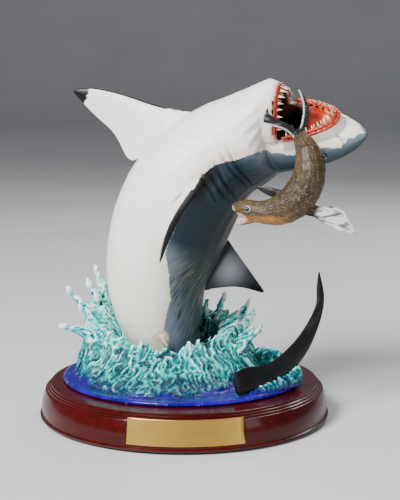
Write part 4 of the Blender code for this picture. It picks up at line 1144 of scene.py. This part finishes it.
def plinth_profile():
    """Radius and height in mm up the turned side: foot lip, bulging wall, three beads and the flat top."""
    rows = [(0.0, 1.8), (114.3, 1.8), (115.0, 2.5), (115.0, 3.7)]
    for k in range(15):
        share = k / 14
        rows.append((113.4 + 0.9 * math.sin(math.pi * share) - 2.9 * share ** 1.6, 4.2 + 19.0 * share))
    radius, foot = rows[-1]
    for bead in range(3):
        radius -= 1.5
        rows += [(radius, foot + 0.25), (radius + 0.15, foot + 0.8), (radius, foot + 1.6)]
        foot += 1.7
    return rows + [(radius - 0.8, foot), (0.0, foot)]


def make_plinth():
    profile = [(radius * MM, height * MM) for radius, height in plinth_profile()]
    plinth = add_piece("turned_plinth", turned(profile))
    room = welded("name_plate")
    for vert in room.verts:
        outward = Vector((vert.co.x, vert.co.y, 0)).normalized()
        vert.co += vert.normal * PLATE_GAP
        if vert.normal.dot(outward) > 0:
            vert.co += outward * PLATE_RISE
    cutter = add_piece("plate_room", room)
    recess = plinth.modifiers.new("plate_recess", "BOOLEAN")
    recess.operation = "DIFFERENCE"
    recess.solver = "EXACT"
    recess.object = cutter
    apply_modifiers(plinth)
    bpy.data.objects.remove(cutter)
    ease_edges(plinth, PLINTH_EDGE, 2, 24)
    coat(plinth, lacquered_mahogany())
    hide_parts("plinth")
    return plinth


def make_plate():
    plate = add_piece("brass_plate", welded("name_plate"))
    ease_edges(plate, PLATE_EDGE, 3, 50)
    coat(plate, brushed_brass())
    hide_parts("name_plate")
    return plate


# Stage


def make_stage():
    """Pale floor that curves up into a backdrop."""
    bm = bmesh.new()
    bmesh.ops.create_grid(bm, x_segments=1, y_segments=1, size=5.0)
    back = [edge for edge in bm.edges if all(vert.co.y > 4.9 for vert in edge.verts)]
    for step in range(10):
        made = bmesh.ops.extrude_edge_only(bm, edges=back)["geom"]
        back = picked(made, bmesh.types.BMEdge)
        turn = math.radians(9) * (step + 0.5)
        bmesh.ops.translate(bm, verts=picked(made, bmesh.types.BMVert),
                            vec=(0, 0.35 * math.cos(turn), 0.35 * math.sin(turn)))
    made = bmesh.ops.extrude_edge_only(bm, edges=back)["geom"]
    bmesh.ops.translate(bm, verts=picked(made, bmesh.types.BMVert), vec=(0, 0, 4))
    floor = add_piece("studio_floor", bm)
    paper = Finish("studio_paper")
    tone = paper.noise(3, 2)
    paper.painted(paper.ramp(tone, [(0.3, (0.60, 0.60, 0.61)), (0.7, (0.64, 0.64, 0.65))]), tone, (0.7, 0.7))
    dress(floor, paper)


def add_light(name, place, size, power):
    """Soft box that faces the figure's middle."""
    data = bpy.data.lights.new(name, "AREA")
    data.shape = "RECTANGLE"
    data.size, data.size_y = size
    data.energy = power
    lamp = bpy.data.objects.new(name, data)
    lamp.location = place
    lamp.rotation_euler = (Vector(FIGURE_MIDDLE) - Vector(place)).to_track_quat("-Z", "Y").to_euler()
    bpy.context.scene.collection.objects.link(lamp)


def make_studio():
    add_light("key", (-0.9, -1.1, 1.3), (0.6, 0.6), 74)
    add_light("fill", (1.2, -1.0, 0.7), (0.6, 0.9), 5)
    add_light("rim", (0.6, 1.1, 1.1), (0.8, 0.5), 12)
    world = bpy.data.worlds.new("studio_air")
    world.use_nodes = True
    air = world.node_tree.nodes["Background"].inputs
    air["Color"].default_value = (0.75, 0.78, 0.82, 1)
    air["Strength"].default_value = 0.25
    bpy.context.scene.world = world
    data = bpy.data.cameras.new("photo_camera")
    data.lens = CAMERA_LENS
    data.sensor_width = CAMERA_SENSOR
    camera = bpy.data.objects.new("photo_camera", data)
    camera.location = CAMERA_PLACE
    camera.rotation_euler = (math.pi / 2 - CAMERA_TILT, 0, 0)
    bpy.context.scene.collection.objects.link(camera)
    bpy.context.scene.camera = camera


make_studio()
make_stage()
shark = make_shark()
far_paint = fin_finish("far_pectoral_paint", NEAR_BLACK, FIN_WHITE, 1.4, 14.0)
near_paint = fin_finish("near_pectoral_paint", NEAR_BLACK, FIN_WHITE, 6.5)
tail_paint = fin_finish("tail_paint", NEAR_BLACK, NEAR_BLACK, 200.0)
smooth_fin("right_pectoral_fin", "far_pectoral", far_paint, FAR_LEADING_MM)
smooth_fin("left_pectoral_fin", "near_pectoral", near_paint, NEAR_LEADING_MM)
smooth_fin("dorsal_fin", "dorsal", highlit_dorsal_finish())
smooth_fin("caudal_fin", "tail", tail_paint)
make_mouth()
black = glossy_eye("black_eye", (0.004, 0.004, 0.005))
eye_on(shark, "shark_eye_near", EYE_MM, EYE_RADIUS_MM, EYE_LIFT_MM, black)
eye_on(shark, "shark_eye_far", far_side(EYE_MM), EYE_RADIUS_MM, EYE_LIFT_MM, black)
seal = make_seal()
eye_on(seal, "seal_eye_white", SEAL_EYE_MM, 2.4, -0.5, glossy_eye("eye_white", (0.8, 0.78, 0.72)))
eye_on(seal, "seal_eye", SEAL_EYE_MM, 1.9, 0.5, black)
coat(make_seal_teeth(), ivory())
make_splash()
coat(make_sea(), deep_sea())
make_plinth()
make_plate()
zinc = zinc_plate()
felt = green_felt()
for node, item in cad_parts.items():
    if "screw" in node or "bolt" in node:
        dress(item, zinc)
    if node == "felt_pad":
        dress(item, felt)
